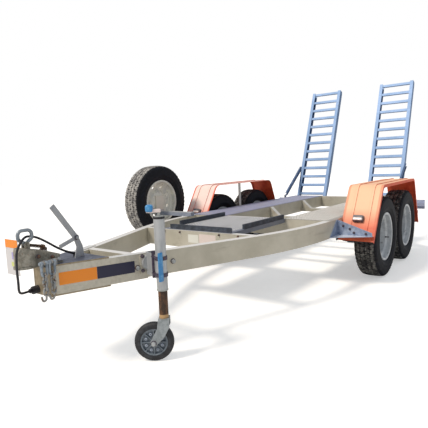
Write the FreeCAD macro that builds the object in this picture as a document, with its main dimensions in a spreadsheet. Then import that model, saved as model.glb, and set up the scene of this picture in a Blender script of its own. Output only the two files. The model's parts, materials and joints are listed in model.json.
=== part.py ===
import FreeCAD, Part
import math
import os
import re
import Sketcher
from types import SimpleNamespace

# Tandem-axle aluminium plant trailer with two folding ladder ramps, in millimetres.
# It is laid out on the ground: x to the kerb side shown, y to the rear from midway between
# the axles, z up. Every finished piece is then moved so that the centre of the coupling
# ball is the origin.

Vec = FreeCAD.Vector
UP = Vec(0, 0, 1)
ALONG = Vec(0, 1, 0)
ACROSS = Vec(1, 0, 0)

doc = FreeCAD.newDocument("PlantTrailer")
sheet = doc.addObject("Spreadsheet::Sheet", "Sizes")

SIZES = (
    # clearance where one piece seats on another
    ("seatGap", 0.3),
    # where the coupling ball sits, ahead of the nose and above the deck
    ("couplingLead", 70), ("couplingRise", 25),
    # main rails: aluminium box section, converging in one long bend to the nose
    ("deckHeight", 575), ("railDepth", 140), ("railWidth", 60), ("railWall", 5), ("deckHalf", 728),
    ("frameRear", 1321), ("bendEnd", 1010), ("bendRatio", 1.1753644), ("noseHalfWidth", 72.25),
    ("noseReach", 3137), ("rebate", 4),
    # steel nose: sleeves outside the rails, head plates and the closing plate
    ("sleeveWall", 4), ("sleeveLength", 475), ("headPlateLength", 295), ("headPlate", 8),
    ("closingDepth", 28),
    # cross-members and inner rails
    ("crossWidth", 50), ("crossDepth", 130), ("crossWall", 4), ("drawbarCrossDepth", 100),
    ("drawbarCrossLead", 397), ("firstCross", 1909), ("secondCross", 1059), ("innerHalf", 312),
    ("innerWidth", 40), ("tubeWidth", 60), ("tubeDepth", 40), ("frontTube", 150), ("rearTube", 680),
    ("gussetReach", 110), ("gussetPlate", 6),
    # tread plate tracks and the bucket tray between the inner rails
    ("treadPlate", 3), ("trayFront", 1895), ("trayHalf", 322), ("trayFlange", 30), ("bumperWidth", 18),
    ("bumperHeight", 37), ("bumperNear", 338), ("bumperFar", 252), ("sideBumperFront", 1706),
    ("sideBumperInset", 2), ("bumperRearGap", 10),
    # road wheels
    ("axleSpacing", 775), ("wheelOut", 177), ("tyreRadius", 365), ("tyreWidth", 205), ("treadWidth", 160),
    ("shoulderDrop", 16), ("shoulderStep", 11), ("shoulderBulge", 10), ("crownEdge", 40), ("beadLip", 2),
    ("beadFlare", 6), ("wallLow", 34), ("wallWide", 70), ("wallHigh", 104), ("wallTuck", 4),
    ("wallRound", 5), ("rimFlange", 217), ("rimSeat", 203), ("rimWidth", 164), ("rimWell", 180),
    ("rimWall", 5), ("seatWidth", 34), ("wellWidth", 60), ("discInset", 42), ("discPlate", 6),
    ("discCrown", 120), ("discBoss", 60), ("discHeel", 26), ("discRise", 30), ("discFall", 28),
    ("discOuter", 24), ("discMeet", 18), ("discSeat", 8), ("flangeRoll", 3), ("hubPlay", 1),
    ("slotCount", 8), ("slotCircle", 152), ("slotWidth", 20),
    ("drumRadius", 130), ("drumWidth", 62), ("drumEdge", 14), ("drumBand", 12), ("hubRadius", 42),
    ("hubReach", 46), ("hubNeck", 22), ("hubTaper", 12), ("spindleRadius", 20), ("runningGap", 0.05),
    ("backplate", 6), ("backplateGap", 8), ("backplateInset", 4),
    # axles and springs
    ("axleBeam", 50), ("spindleLength", 109), ("springInset", 34), ("springWidth", 50),
    ("leafThickness", 7), ("leafCount", 5), ("springHalf", 335), ("springSag", 38), ("leafStep", 62),
    ("eyeRadius", 20), ("eyePin", 9), ("hangerPlate", 6), ("hangerWidth", 90), ("clampPlate", 12),
    ("clampLength", 120), ("clampBolt", 6), ("rockerDepth", 50), ("plateClearance", 2),
    # mudguards
    ("guardWidth", 293), ("guardTop", 842), ("guardPlate", 3), ("guardFrontBend", 600),
    ("guardRearBend", 588), ("guardFrontFoot", 888), ("guardRearFoot", 818), ("guardFrontHeight", 397),
    ("guardRearHeight", 340), ("guardBend", 90), ("guardLip", 26), ("ribWidth", 14), ("ribHeight", 6),
    ("ribInner", 75), ("ribOuter", 64), ("bracketLength", 187), ("bracketDrop", 135),
    ("bracketPlate", 4), ("bracketEdge", 32), ("bracketNose", 34), ("bracketInset", 6), ("bracketSlope", 20),
    ("postWidth", 40), ("postThickness", 8), ("postPlace", 150), ("lampWidth", 84), ("lampHeight", 56),
    ("lampDepth", 30), ("lampDraft", 5), ("lampDrop", 35), ("lampSide", 99),
    # spare wheel on its carrier
    ("spareOut", 372), ("sparePlace", 1172), ("spareRise", 139), ("carrierWidth", 50),
    ("carrierDepth", 40), ("carrierPlate", 10), ("carrierPlateWidth", 110), ("carrierSeat", 110),
    # ramps
    ("rampInset", 233), ("rampWidth", 430), ("rampLength", 1650), ("rampLean", 22), ("rampRail", 40),
    ("rampDepth", 75), ("rampWall", 4), ("rampTaper", 230), ("rampEye", 25), ("rampPin", 10),
    ("pinGap", 0.3), ("rampHeel", 10), ("rampHeelReach", 20), ("rampFloor", 16), ("rampNose", 12),
    ("rampNoseDrop", 30), ("hingeReach", 32), ("hingeDrop", 30), ("rungCount", 13), ("rungPitch", 130),
    ("firstRung", 60), ("rungWidth", 34), ("rungDepth", 22), ("rungSet", 6), ("lugPlate", 10),
    ("lugGap", 6), ("stayAlong", 468), ("stayDeck", 993), ("stayWidth", 25), ("stayThickness", 6),
    ("stayGap", 5), ("stayPin", 6), ("stayLift", 20), ("lugSlack", 0.5),
    ("stayPinEnd", 3), ("lugMouth", 60), ("lugCrown", 17.5),
    # tail lamps on their arms
    ("tailArmReach", 262), ("tailArmDepth", 40), ("tailArmThickness", 5), ("tailPlateWidth", 92),
    ("tailPlateHeight", 112), ("tailPlateDrop", 30), ("tailLampDepth", 32), ("tailLampEdge", 6),
    # jockey wheel on its swivel bracket outside the nearer rail
    ("jockeyLead", 482), ("jockeyOffset", 180), ("jockeyPivotDrop", 48), ("jockeyTube", 30),
    ("jockeyInner", 25.5), ("jockeyTubeWall", 4.2), ("jockeyTubeDrop", 170), ("jockeyTubeRise", 217),
    ("jockeyInnerRise", 15), ("jockeyForkTop", 244), ("jockeyWheel", 110), ("jockeyWheelWidth", 46),
    ("jockeyTrail", 60), ("jockeyHub", 76), ("forkPlate", 6), ("forkSide", 5), ("swivelPlate", 10),
    ("swivelRadius", 48), ("swivelPin", 16), ("clampHeight", 130), ("clampWidth", 110),
    ("crankRise", 295), ("crankArm", 62), ("castorAngle", 53.2), ("swivelDisc", 24), ("swivelPinReach", 22),
    ("armStart", 12), ("armFace", 8), ("webSide", 21), ("packerStart", 2), ("capDepth", 6),
    ("innerWall", 3.5), ("innerFloor", 8), ("stubRadius", 10), ("stubReach", 4), ("forkAxle", 7),
    ("forkAxleEnd", 6), ("forkThroat", 54), ("forkHeel", 46), ("forkFoot", 17), ("forkFootBack", 18),
    ("forkFootFront", 12), ("forkFootRise", 8), ("forkChin", 36), ("forkFlare", 8), ("hubInset", 8),
    ("hubBand", 8), ("hubBoss", 20), ("hubRib", 4), ("hubRibs", 8), ("crankCap", 14), ("crankSpindle", 9),
    ("crankDrop", 30), ("crankWidth", 16), ("crankPlate", 8), ("crankHeel", 10), ("gripRadius", 14),
    ("gripLength", 32), ("gripInset", 12), ("gripEdge", 4), ("leverThick", 14), ("leverFar", 22),
    ("leverNear", 4), ("leverBelow", 76), ("leverAbove", 84),
    # coupling, its handle and the nose furniture
    ("ballRadius", 25.4), ("headRadius", 48), ("headNose", 65), ("headFace", 66), ("headBrow", 18),
    ("headRise", 90), ("headSlope", 76), ("headCrown", 26), ("headFall", 64), ("headLength", 95),
    ("headFlange", 5), ("neckHalf", 30), ("neckReach", 75), ("neckRear", 30),
    ("footWidth", 110), ("footLength", 120), ("footPlate", 8), ("skirtDepth", 12),
    ("earGap", 10.5), ("earPlate", 8), ("earRadius", 13), ("earRise", 108), ("earLead", 4), ("earFoot", 62),
    ("handleBar", 9), ("handlePin", 6), ("handleBoss", 12), ("handleBossHalf", 9.8), ("handleHalf", 37),
    ("handleFootRise", 134), ("handleTopRise", 177), ("handleBend", 24), ("signWidth", 125),
    ("signHeight", 190), ("signPlate", 2), ("signDrop", 48), ("signSide", 95), ("signLead", 65),
    ("signBarWidth", 34), ("signBarReach", 130), ("signBarPlate", 5),
    # safety chains
    ("chainBar", 4.5), ("chainLength", 45), ("chainWidth", 31), ("chainSide", 40), ("chainLinks", 4),
    ("linkFlats", 4), ("barFlats", 8), ("linkPlay", 0.8), ("chainPitch", 44), ("chainLead", 41.5),
    ("shackleBar", 5), ("shackleHalf", 14.5), ("shackleRise", 24.4), ("shackleDepth", 61), ("shackleEar", 9),
    ("shackleEarWidth", 10), ("shacklePin", 5.5), ("lugThick", 8), ("lugHeight", 34), ("lugPin", 6),
    ("lugRear", 40), ("lugArm", 14), ("hookBar", 5), ("hookDrop", 22), ("hookReach", 21), ("hookTip", 20),
    ("hookFlare", 4),
    # hand brake
    ("brakeLead", 189), ("brakeRise", 125), ("brakeBar", 8), ("brakeWidth", 30), ("leverRise", 186),
    ("leverReach", 132), ("linkReach", 104), ("linkDrop", 34), ("brakeFoot", 30), ("brakeKnee", 64),
    ("brakeKneeRear", 22), ("brakeKneeFront", 14), ("brakeThroat", 60), ("brakeHead", 14),
    ("brakeHeadFront", 34), ("brakeHeadRear", 6), ("brakeOffset", 20), ("brakePinEnd", 2),
    # trailer cable
    ("cableRadius", 6), ("plugRadius", 20), ("plugNeck", 14), ("glandWall", 4), ("glandLength", 16),
    ("glandFootWidth", 30), ("glandFootLength", 34), ("glandFootInset", 2), ("glandFootDrop", 8),
)

# What follows from those sizes
WORKED_OUT = (
    ("bendRadius", "bendRatio * (noseReach - bendEnd)"),
    ("noseFront", "noseReach + closingDepth"), ("sleeveRear", "noseReach - sleeveLength"),
    ("drawbarCross", "noseReach - drawbarCrossLead"), ("jockeyPlace", "noseReach - jockeyLead"),
    ("brakePlace", "noseReach - brakeLead"), ("lampPlace", "deckHeight - lampDrop"),
    ("headPlateRear", "noseFront - headPlateLength"), ("couplingReach", "noseFront + couplingLead"),
    ("couplingHeight", "deckHeight + couplingRise"), ("signPlace", "noseFront + signLead"),
    ("signFoot", "deckHeight - signDrop"), ("wheelCentre", "deckHalf + wheelOut"),
    ("shoulderRadius", "tyreRadius - shoulderDrop"), ("springCentre", "deckHalf - springInset"),
    ("axleEnd", "wheelCentre - discInset + hubReach - spindleLength"),
    ("guardOuter", "deckHalf + guardWidth"), ("bracketHeight", "deckHeight - bracketDrop"),
    ("bracketFront", "guardFrontFoot + bracketLength"), ("spareSide", "deckHalf + spareOut"),
    ("spareHeight", "deckHeight + spareRise"), ("rampSide", "deckHalf - rampInset"),
    ("hingeHeight", "deckHeight - hingeDrop"),
    ("trackEdge", "rampSide + rampWidth/2 + stayGap + stayThickness"),
    ("tailArmOuter", "deckHalf + tailArmReach"), ("tailPlateTop", "deckHeight - tailPlateDrop"),
    ("jockeyPivot", "deckHeight - jockeyPivotDrop"), ("jockeyTubeFoot", "deckHeight - jockeyTubeDrop"),
    ("jockeyTubeTop", "deckHeight + jockeyTubeRise"), ("jockeyInnerTop", "deckHeight + jockeyInnerRise"),
    ("crankHeight", "deckHeight + crankRise"), ("brakePivot", "deckHeight + brakeRise"),
    ("handleTop", "couplingHeight + handleTopRise"), ("handleFoot", "couplingHeight + handleFootRise"),
    ("earHeight", "couplingHeight + earRise"),
)

rows = SIZES + tuple((alias, "=" + formula) for alias, formula in WORKED_OUT)
for row, (alias, content) in enumerate(rows, start=1):
    sheet.set(f"A{row}", alias)
    sheet.set(f"B{row}", str(content))
    sheet.setAlias(f"B{row}", alias)
doc.recompute()
S = SimpleNamespace(**{alias: float(sheet.get(alias)) for alias, _ in rows})
ALIASES = re.compile(r"\b(" + "|".join(sorted((a for a, _ in rows), key=len, reverse=True)) + r")\b")
NODES = []


def bound(text):
    """The expression with each size read from the sheet."""
    return ALIASES.sub(r"Sizes.\1", str(text))


def node(label, *items):
    """One finished piece, moved from the ground datum to the coupling ball."""
    whole = doc.addObject("Part::Compound", label)
    whole.Label = label
    whole.Links = list(items)
    whole.setExpression("Placement.Base.y", bound("couplingReach"))
    whole.setExpression("Placement.Base.z", bound("-couplingHeight"))
    NODES.append(whole)
    return whole


def part(kind, name, place=("0", "0", "0"), **sizes):
    """A Part primitive with its sizes and place bound to the sheet."""
    item = doc.addObject("Part::" + kind, name)
    for prop, text in sizes.items():
        item.setExpression(prop, bound(text))
    for axis, text in zip("xyz", place):
        item.setExpression("Placement.Base." + axis, bound(text))
    return item


def box(name, low, high):
    """A block between two corners, each written from the sizes."""
    length, width, height = (f"({b}) - ({a})" for a, b in zip(low, high))
    return part("Box", name, low, Length=length, Width=width, Height=height)


def rod(name, radius, height, place, direction=UP):
    """A cylinder along one of the axes."""
    item = part("Cylinder", name, place, Radius=radius, Height=height)
    item.Placement.Rotation = FreeCAD.Rotation(UP, direction)
    return item


def cut(name, base, tool):
    item = doc.addObject("Part::Cut", name)
    item.Base, item.Tool = base, tool
    return item


def fuse(name, *items):
    item = doc.addObject("Part::MultiFuse", name)
    item.Shapes = list(items)
    return item


def mirror(name, source):
    """The other side's copy of a piece, across the centre plane."""
    item = doc.addObject("Part::Mirroring", name)
    item.Source = source
    item.Normal = ACROSS
    return item


def moved(solid, place):
    """A copy of a solid at another placement."""
    copy = solid.copy()
    copy.Placement = place.multiply(copy.Placement)
    return copy


def shape(name, solid):
    """A piece made with Part's own functions from the sheet's values."""
    item = doc.addObject("Part::Feature", name)
    item.Shape = solid
    return item


def sketch_on(body, role, name, corners):
    """A closed outline of straight sides, each corner tied to the sheet."""
    outline = body.newObject("Sketcher::SketchObject", name)
    plane = [f for f in body.Origin.OriginFeatures if f.Role == role][0]
    outline.AttachmentSupport = [(plane, "")]
    outline.MapMode = "FlatFace"
    values = numbers([text for corner in corners for text in corner])
    spots = list(zip(values[::2], values[1::2]))
    count = len(spots)
    for i, (a, b) in enumerate(spots):
        c, d = spots[(i + 1) % count]
        outline.addGeometry(Part.LineSegment(Vec(a, b, 0), Vec(c, d, 0)), False)
    for i in range(count):
        outline.addConstraint(Sketcher.Constraint("Coincident", i, 2, (i + 1) % count, 1))
    for i, (corner, spot) in enumerate(zip(corners, spots)):
        for kind, text, value in zip(("DistanceX", "DistanceY"), corner, spot):
            k = outline.addConstraint(Sketcher.Constraint(kind, -1, 1, i, 1, value))
            outline.setExpression(f"Constraints[{k}]", bound(text))
    return outline


def numbers(texts):
    """The values now of some formulas of the sheet's sizes."""
    for row, text in enumerate(texts, start=1):
        sheet.set(f"D{row}", "=" + str(text))
    doc.recompute([sheet])
    return [float(sheet.get(f"D{row}")) for row in range(1, len(texts) + 1)]


def pad(name, role, corners, length, place=("0", "0", "0"), both=True):
    """An outline pushed out to a thickness."""
    body = doc.addObject("PartDesign::Body", name)
    feature = body.newObject("PartDesign::Pad", name + "_pad")
    feature.Profile = sketch_on(body, role, name + "_outline", corners)
    feature.setExpression("Length", bound(length))
    feature.Midplane = both
    for axis, text in zip("xyz", place):
        body.setExpression("Placement.Base." + axis, bound(text))
    return body


def turned(name, corners, place=("0", "0", "0")):
    """An outline in the YZ plane, (radius, x) pairs, turned about the x axis."""
    body = doc.addObject("PartDesign::Body", name)
    outline = sketch_on(body, "XY_Plane", name + "_outline", [(x, r) for r, x in corners])
    feature = body.newObject("PartDesign::Revolution", name + "_turned")
    feature.Profile = outline
    feature.ReferenceAxis = (outline, ["H_Axis"])
    feature.Angle = 360
    for axis, text in zip("xyz", place):
        body.setExpression("Placement.Base." + axis, bound(text))
    return body


def tube_along(points, radius, bends):
    """The length and solid of a round bar through points, straight runs joined by tangent arcs."""
    pieces, length, start = [], 0, points[0]
    for before, corner, after, bend in zip(points, points[1:], points[2:], bends):
        a, b = (before - corner).normalize(), (after - corner).normalize()
        half = a.getAngle(b) / 2
        reach = bend / math.tan(half)
        first, last = corner + a * reach, corner + b * reach
        centre = corner + (a + b).normalize() * (bend / math.sin(half))
        pieces.append(Part.makeCylinder(radius, (first - start).Length, start, first - start))
        ring = Part.Face(Part.Wire([Part.makeCircle(radius, first, corner - first)]))
        sweep = math.pi - 2 * half
        pieces.append(ring.revolve(centre, (first - centre).cross(last - centre), math.degrees(sweep)))
        length += (first - start).Length + bend * sweep
        start = last
    pieces.append(Part.makeCylinder(radius, (points[-1] - start).Length, start, points[-1] - start))
    length += (points[-1] - start).Length
    return length, pieces[0].multiFuse(pieces[1:]).removeSplitter()


# Main rails

def drawbar_turn():
    """Angle of the straight drawbar stretch, tangent to the bend and ending at the nose's width."""
    across = S.noseHalfWidth - S.deckHalf + S.bendRadius
    along = S.noseReach - S.bendEnd
    return math.atan2(along, across) - math.acos(S.bendRadius / math.hypot(across, along))


turn = drawbar_turn()


def rail_outline(inset):
    """Plan line of a rail at a distance inside its outer face, nose to rear."""
    centre = Vec(S.deckHalf - S.bendRadius, -S.bendEnd, 0)
    radius = S.bendRadius - inset
    start = centre + Vec(math.cos(turn), -math.sin(turn), 0) * radius
    middle = centre + Vec(math.cos(turn / 2), -math.sin(turn / 2), 0) * radius
    end = centre + ACROSS * radius
    nose = start + Vec(-math.sin(turn), -math.cos(turn), 0) * ((start.y + S.noseReach) / math.cos(turn))
    rear = Vec(S.deckHalf - inset, S.frameRear, 0)
    return nose, start, middle, end, rear


def rail_strip(outer, inner, low, high):
    """A solid that follows the rail between two insets and two heights."""
    a, b = rail_outline(outer), rail_outline(inner)
    edges = [Part.LineSegment(a[0], a[1]), Part.Arc(a[1], a[2], a[3]), Part.LineSegment(a[3], a[4]),
             Part.LineSegment(a[4], b[4]), Part.LineSegment(b[4], b[3]), Part.Arc(b[3], b[2], b[1]),
             Part.LineSegment(b[1], b[0]), Part.LineSegment(b[0], a[0])]
    face = Part.Face(Part.Wire([e.toShape() for e in edges]))
    face.translate(UP * low)
    return face.extrude(UP * (high - low))


railFoot = S.deckHeight - S.railDepth
railSolid = rail_strip(0, S.railWidth, railFoot, S.deckHeight).cut(
    rail_strip(S.railWall, S.railWidth - S.railWall, railFoot + S.railWall, S.deckHeight - S.railWall))
leftRail = shape("leftRailShape", railSolid)
node("main_rail_left", leftRail)
node("main_rail_right", mirror("rightRailShape", leftRail))


def rail_face(y, inset=0.0):
    """Half-width of a rail line at a place along the trailer."""
    nose, start, _, end, rear = rail_outline(inset)
    if y <= start.y:
        return nose.x + (y - nose.y) * (start.x - nose.x) / (start.y - nose.y)
    if y >= end.y:
        return rear.x
    radius = S.bendRadius - inset
    return S.deckHalf - S.bendRadius + math.sqrt(radius ** 2 - (y + S.bendEnd) ** 2)


# Steel nose

railWay = Vec(math.sin(turn), math.cos(turn), 0)
railOut = Vec(math.cos(turn), -math.sin(turn), 0)
gap = S.seatGap


def sleeve():
    """A channel of plate that wraps the outer face, top and bottom of the rail's nose."""
    nose = rail_outline(0)[0]
    length = (S.noseReach - S.sleeveRear) / math.cos(turn)
    wall, lip = S.sleeveWall, S.railWidth * 0.75
    def slab(low, high, inner, outer):
        a = nose + railOut * inner
        b = nose + railOut * outer
        face = Part.Face(Part.makePolygon([a, b, b + railWay * length, a + railWay * length, a]))
        face.translate(UP * low)
        return face.extrude(UP * (high - low))
    top, foot = S.deckHeight + gap, railFoot - gap
    web = slab(foot - wall, top + wall, gap, gap + wall)
    return web.fuse(slab(top, top + wall, -lip, gap + wall)).fuse(slab(foot - wall, foot, -lip, gap + wall))


leftSleeve = shape("leftSleeveShape", sleeve().removeSplitter())
node("nose_sleeves", leftSleeve, mirror("rightSleeveShape", leftSleeve))

headTop = S.deckHeight + gap + S.sleeveWall + gap
headFoot = railFoot - 2 * gap - S.sleeveWall


def head_plate(low):
    """The trapezoid plate that ties both sleeves together."""
    front, rear = -S.noseFront, -S.headPlateRear
    half = [rail_face(y) + S.sleeveWall for y in (-S.noseReach, rear)]
    corners = [Vec(-half[0], front, low), Vec(half[0], front, low), Vec(half[0], -S.noseReach, low),
               Vec(half[1], rear, low), Vec(-half[1], rear, low), Vec(-half[0], -S.noseReach, low),
               Vec(-half[0], front, low)]
    return Part.Face(Part.makePolygon(corners)).extrude(UP * S.headPlate)


noseHalf = rail_face(-S.noseReach) + S.sleeveWall
sleeveNose = (S.sleeveWall + gap) * math.sin(turn)
closing = Part.makeBox(2 * noseHalf, S.closingDepth - sleeveNose - gap, headTop - headFoot,
                       Vec(-noseHalf, -S.noseFront, headFoot))
head = head_plate(headTop).fuse(head_plate(headFoot - S.headPlate)).fuse(closing).removeSplitter()
node("nose_head", shape("headShape", head))

# Cross-members, inner rails, tubes and gussets


def rail_inner(y):
    return rail_face(y, S.railWidth)


def cross(front, depth, width):
    """A box cross-member cut to the rails it meets, open inside."""
    def prism(low, high, near, far, ends):
        a, b = rail_inner(near) - gap - ends, rail_inner(far) - gap - ends
        corners = [Vec(-a, near, low), Vec(a, near, low), Vec(b, far, low), Vec(-b, far, low),
                   Vec(-a, near, low)]
        return Part.Face(Part.makePolygon(corners)).extrude(UP * (high - low))
    wall = S.crossWall
    whole = prism(S.deckHeight - depth, S.deckHeight, front, front + width, 0)
    return whole.cut(prism(S.deckHeight - depth + wall, S.deckHeight - wall, front + wall,
                           front + width - wall, wall))


node("cross_members",
     shape("drawbarCrossShape", cross(-S.drawbarCross, S.drawbarCrossDepth, S.crossWidth)),
     shape("frontCrossShape", cross(-S.firstCross, S.crossDepth, S.crossWidth)),
     shape("middleCrossShape", cross(-S.secondCross, S.railDepth, S.crossWidth)),
     shape("rearCrossShape", cross(S.frameRear - S.crossWidth, S.railDepth, S.crossWidth)))

innerLeft = box("innerLeft", ("innerHalf", "-secondCross + crossWidth + seatGap", "deckHeight - railDepth"),
                ("innerHalf + innerWidth", "frameRear - crossWidth - seatGap", "deckHeight"))
innerBore = box("innerBore", ("innerHalf + railWall", "-secondCross + crossWidth + seatGap + railWall",
                              "deckHeight - railDepth + railWall"),
                ("innerHalf + innerWidth - railWall", "frameRear - crossWidth - seatGap - railWall",
                 "deckHeight - railWall"))
innerRail = cut("innerRail", innerLeft, innerBore)
node("inner_rails", innerRail, mirror("innerRailRight", innerRail))

tubes = [box(f"lowTube{i}", ("-innerHalf + seatGap", f"{y} - tubeWidth/2", "deckHeight - railDepth"),
             ("innerHalf - seatGap", f"{y} + tubeWidth/2", "deckHeight - railDepth + tubeDepth"))
         for i, y in enumerate(("-frontTube", "rearTube"))]

gussets = []
for i, y in enumerate(("-frontTube", "rearTube")):
    top = "deckHeight - railDepth + tubeDepth + seatGap"
    plate = pad(f"gusset{i}", "XZ_Plane",
                [("innerHalf - seatGap", top), ("innerHalf - seatGap - gussetReach", top),
                 ("innerHalf - seatGap - gussetPlate", "deckHeight - treadPlate"),
                 ("innerHalf - seatGap", "deckHeight - treadPlate")], "tubeWidth", ("0", y, "0"))
    gussets += [plate, mirror(f"gussetRight{i}", plate)]
node("low_tubes", *tubes, *gussets)

# Tread plate tracks and the bucket tray

track = box("trackLeft", ("innerHalf", "-secondCross", "deckHeight + seatGap"),
            ("trackEdge", "frameRear", "deckHeight + treadPlate + seatGap"))
node("deck_track_left", track)
node("deck_track_right", mirror("trackRight", track))

trayTop = "deckHeight + treadPlate + seatGap"
tray = fuse("trayPlate",
            box("traySheet", ("-trayHalf", "-trayFront", "deckHeight + seatGap"),
                ("trayHalf", "-secondCross - seatGap", trayTop)),
            box("trayNear", ("trayHalf - treadPlate", "-trayFront + crossWidth", "deckHeight - trayFlange"),
                ("trayHalf", "-secondCross - seatGap", trayTop)),
            box("trayFar", ("-trayHalf", "-trayFront + crossWidth", "deckHeight - trayFlange"),
                ("-trayHalf + treadPlate", "-secondCross - seatGap", trayTop)),
            box("trayRear", ("-trayHalf", "-secondCross - seatGap - treadPlate", "deckHeight - trayFlange"),
                ("trayHalf", "-secondCross - seatGap", trayTop)))
node("bucket_tray", tray)

bumperFoot = "deckHeight + treadPlate + 2*seatGap"
frontBumper = pad("frontBumper", "XY_Plane",
                  [("-bumperFar", "-trayFront"), ("bumperNear", "-trayFront"),
                   ("bumperNear - bumperWidth", "-trayFront + bumperWidth"),
                   ("-bumperFar + bumperWidth", "-trayFront + bumperWidth")], "bumperHeight",
                  ("0", "0", bumperFoot), False)
sideBumper = box("sideBumper", ("trayHalf - sideBumperInset - bumperWidth", "-sideBumperFront", bumperFoot),
                 ("trayHalf - sideBumperInset", "-secondCross - bumperRearGap",
                  bumperFoot + " + bumperHeight"))
node("tray_bumpers", frontBumper, sideBumper, mirror("sideBumperRight", sideBumper))

# Road wheels, made once about the origin with the outer side towards +x


def tyre():
    half, tread, seat = "tyreWidth/2", "treadWidth/2", "rimWidth/2 - rimWall - seatGap"
    one_side = [
        ("rimSeat + seatGap", seat), ("rimFlange + beadLip", seat),
        ("rimFlange + beadFlare", "rimWidth/2 + beadFlare"), ("rimFlange + wallLow", f"{half} - wallTuck"),
        ("rimFlange + wallWide", half), ("rimFlange + wallHigh", f"{half} - wallRound"),
        ("shoulderRadius", f"{tread} + shoulderBulge"), ("shoulderRadius + shoulderStep", tread),
        ("tyreRadius", f"{tread} - crownEdge")]
    return turned("tyre", [(r, f"-({x})") for r, x in one_side] + one_side[::-1])


def rim():
    """Drop-centre barrel with a dished disc set well inside, eight slots and a hub hole."""
    edge, seat, well = "rimWidth/2", "rimWidth/2 - rimWall - seatWidth", "wellWidth/2"
    outer, inner = "-discInset + discPlate", "-discInset"
    outside = [("rimFlange", f"{edge} + 2"), ("rimFlange", f"{edge} - rimWall"),
               ("rimSeat", f"{edge} - rimWall"), ("rimSeat", seat), ("rimWell", well)]
    barrel = turned("rimBarrel", [(r, f"-({x})") for r, x in outside] + outside[::-1] + [
        ("rimFlange - rimWall", f"{edge} + flangeRoll"), ("rimSeat - rimWall", edge),
        ("rimSeat - rimWall", f"{seat} + 1"), ("rimWell - rimWall", f"{well} + 1"),
        ("rimWell - rimWall", f"{outer} + discMeet"), ("discCrown + discOuter", f"{outer} + discFall"),
        ("discCrown - 2", f"{outer} + discRise"), ("discCrown - discHeel", f"{outer} + discSeat"),
        ("discBoss", outer), ("hubRadius + hubPlay", outer), ("hubRadius + hubPlay", inner),
        ("discBoss", inner), ("discCrown - discHeel", f"{inner} + discSeat"),
        ("discCrown", f"{inner} + discRise"), ("discCrown + discOuter - 2", f"{inner} + discFall"),
        ("rimWell - rimWall", f"{inner} + discMeet - 2"),
        ("rimWell - rimWall", f"-{well} - 1"), ("rimSeat - rimWall", f"-({seat}) - 1"),
        ("rimSeat - rimWall", f"-{edge}"), ("rimFlange - rimWall", f"-{edge} - flangeRoll")])
    slots = []
    for i in range(int(S.slotCount)):
        slot = Part.makeBox(S.discBoss, S.slotWidth * 1.6, S.slotWidth,
                            Vec(-S.discInset - S.rimWall, -S.slotWidth * 0.8, S.slotCircle - S.slotWidth / 2))
        slot = slot.makeFillet(S.slotWidth * 0.42, [e for e in slot.Edges if abs(e.tangentAt(0).x) > 0.9])
        slot.rotate(Vec(), ACROSS, 360 / S.slotCount * (i + 0.5))
        slots.append(slot)
    doc.recompute()
    return shape("rimShape", barrel.Shape.cut(Part.makeCompound(slots)))


def drum():
    """Brake drum and hub, with the bearing bore open to the spindle."""
    face, bore = "-discInset - seatGap", "spindleRadius + runningGap"
    return turned("drum", [
        (bore, f"{face} - drumWidth"), ("drumRadius", f"{face} - drumWidth"),
        ("drumRadius", f"{face} - drumBand"), ("drumRadius - drumEdge", face), ("hubRadius", face),
        ("hubRadius", "-discInset + drumEdge"), ("hubRadius - hubTaper + 2", "-discInset + hubNeck"),
        ("hubRadius - hubTaper", "-discInset + hubReach"), (bore, "-discInset + hubReach")])


def placed(name, source, side, y, z):
    """A wheel piece on its axle, outer side away from the centre plane."""
    item = doc.addObject("Part::Feature", name)
    solid = source.Shape.copy()
    if side < 0:
        solid = solid.mirror(Vec(), ACROSS)
    solid.translate(Vec(0, y, z))
    item.Shape = solid
    return item


pieces = {"tyre": tyre(), "rim": rim(), "drum": drum()}
doc.recompute()
for end, y in (("front", -S.axleSpacing / 2), ("rear", S.axleSpacing / 2)):
    for side, way in (("left", 1), ("right", -1)):
        for kind, source in pieces.items():
            item = placed(f"{kind}_{end}_{side}_shape", source, way, y, S.tyreRadius)
            item.Shape = item.Shape.translated(ACROSS * way * S.wheelCentre)
            node(f"{kind}_{end}_{side}", item)
for kind in ("tyre", "rim"):
    item = placed(f"spare_{kind}_shape", pieces[kind], -1, -S.sparePlace, S.spareHeight)
    item.Shape = item.Shape.translated(ACROSS * -S.spareSide)
    node(f"spare_{kind}", item)

# The spare's back is its inner side, so the carrier plate bears on the disc from the frame side
spareFace = "-spareSide + discInset + seatGap"
node("spare_carrier", fuse("carrier",
     box("carrierArm", (spareFace, "-sparePlace - carrierWidth/2", "deckHeight + seatGap"),
         ("-deckHalf + carrierSeat", "-sparePlace + carrierWidth/2", "deckHeight + seatGap + carrierDepth")),
     box("carrierStud", (spareFace, "-sparePlace - carrierPlateWidth/2", "deckHeight + seatGap"),
         (spareFace + " + carrierPlate", "-sparePlace + carrierPlateWidth/2", "spareHeight + discBoss"))))

# Axles, drop hangers, leaf springs, rockers and clamps


def axle(name, y):
    beam = box(f"{name}Beam", ("-axleEnd", f"{y} - axleBeam/2", "tyreRadius - axleBeam/2"),
               ("axleEnd", f"{y} + axleBeam/2", "tyreRadius + axleBeam/2"))
    left = rod(f"{name}Spindle", "spindleRadius", "spindleLength + backplateInset/2",
               ("axleEnd", y, "tyreRadius"), ACROSS)
    plate = rod(f"{name}Backplate", "drumRadius - backplateInset", "backplate",
                ("wheelCentre - discInset - drumWidth - backplateGap", y, "tyreRadius"), ACROSS)
    return fuse(name, beam, left, mirror(f"{name}SpindleRight", left), plate,
                mirror(f"{name}PlateRight", plate))


node("axles", axle("axleFront", "-axleSpacing/2"), axle("axleRear", "axleSpacing/2"))


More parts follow.
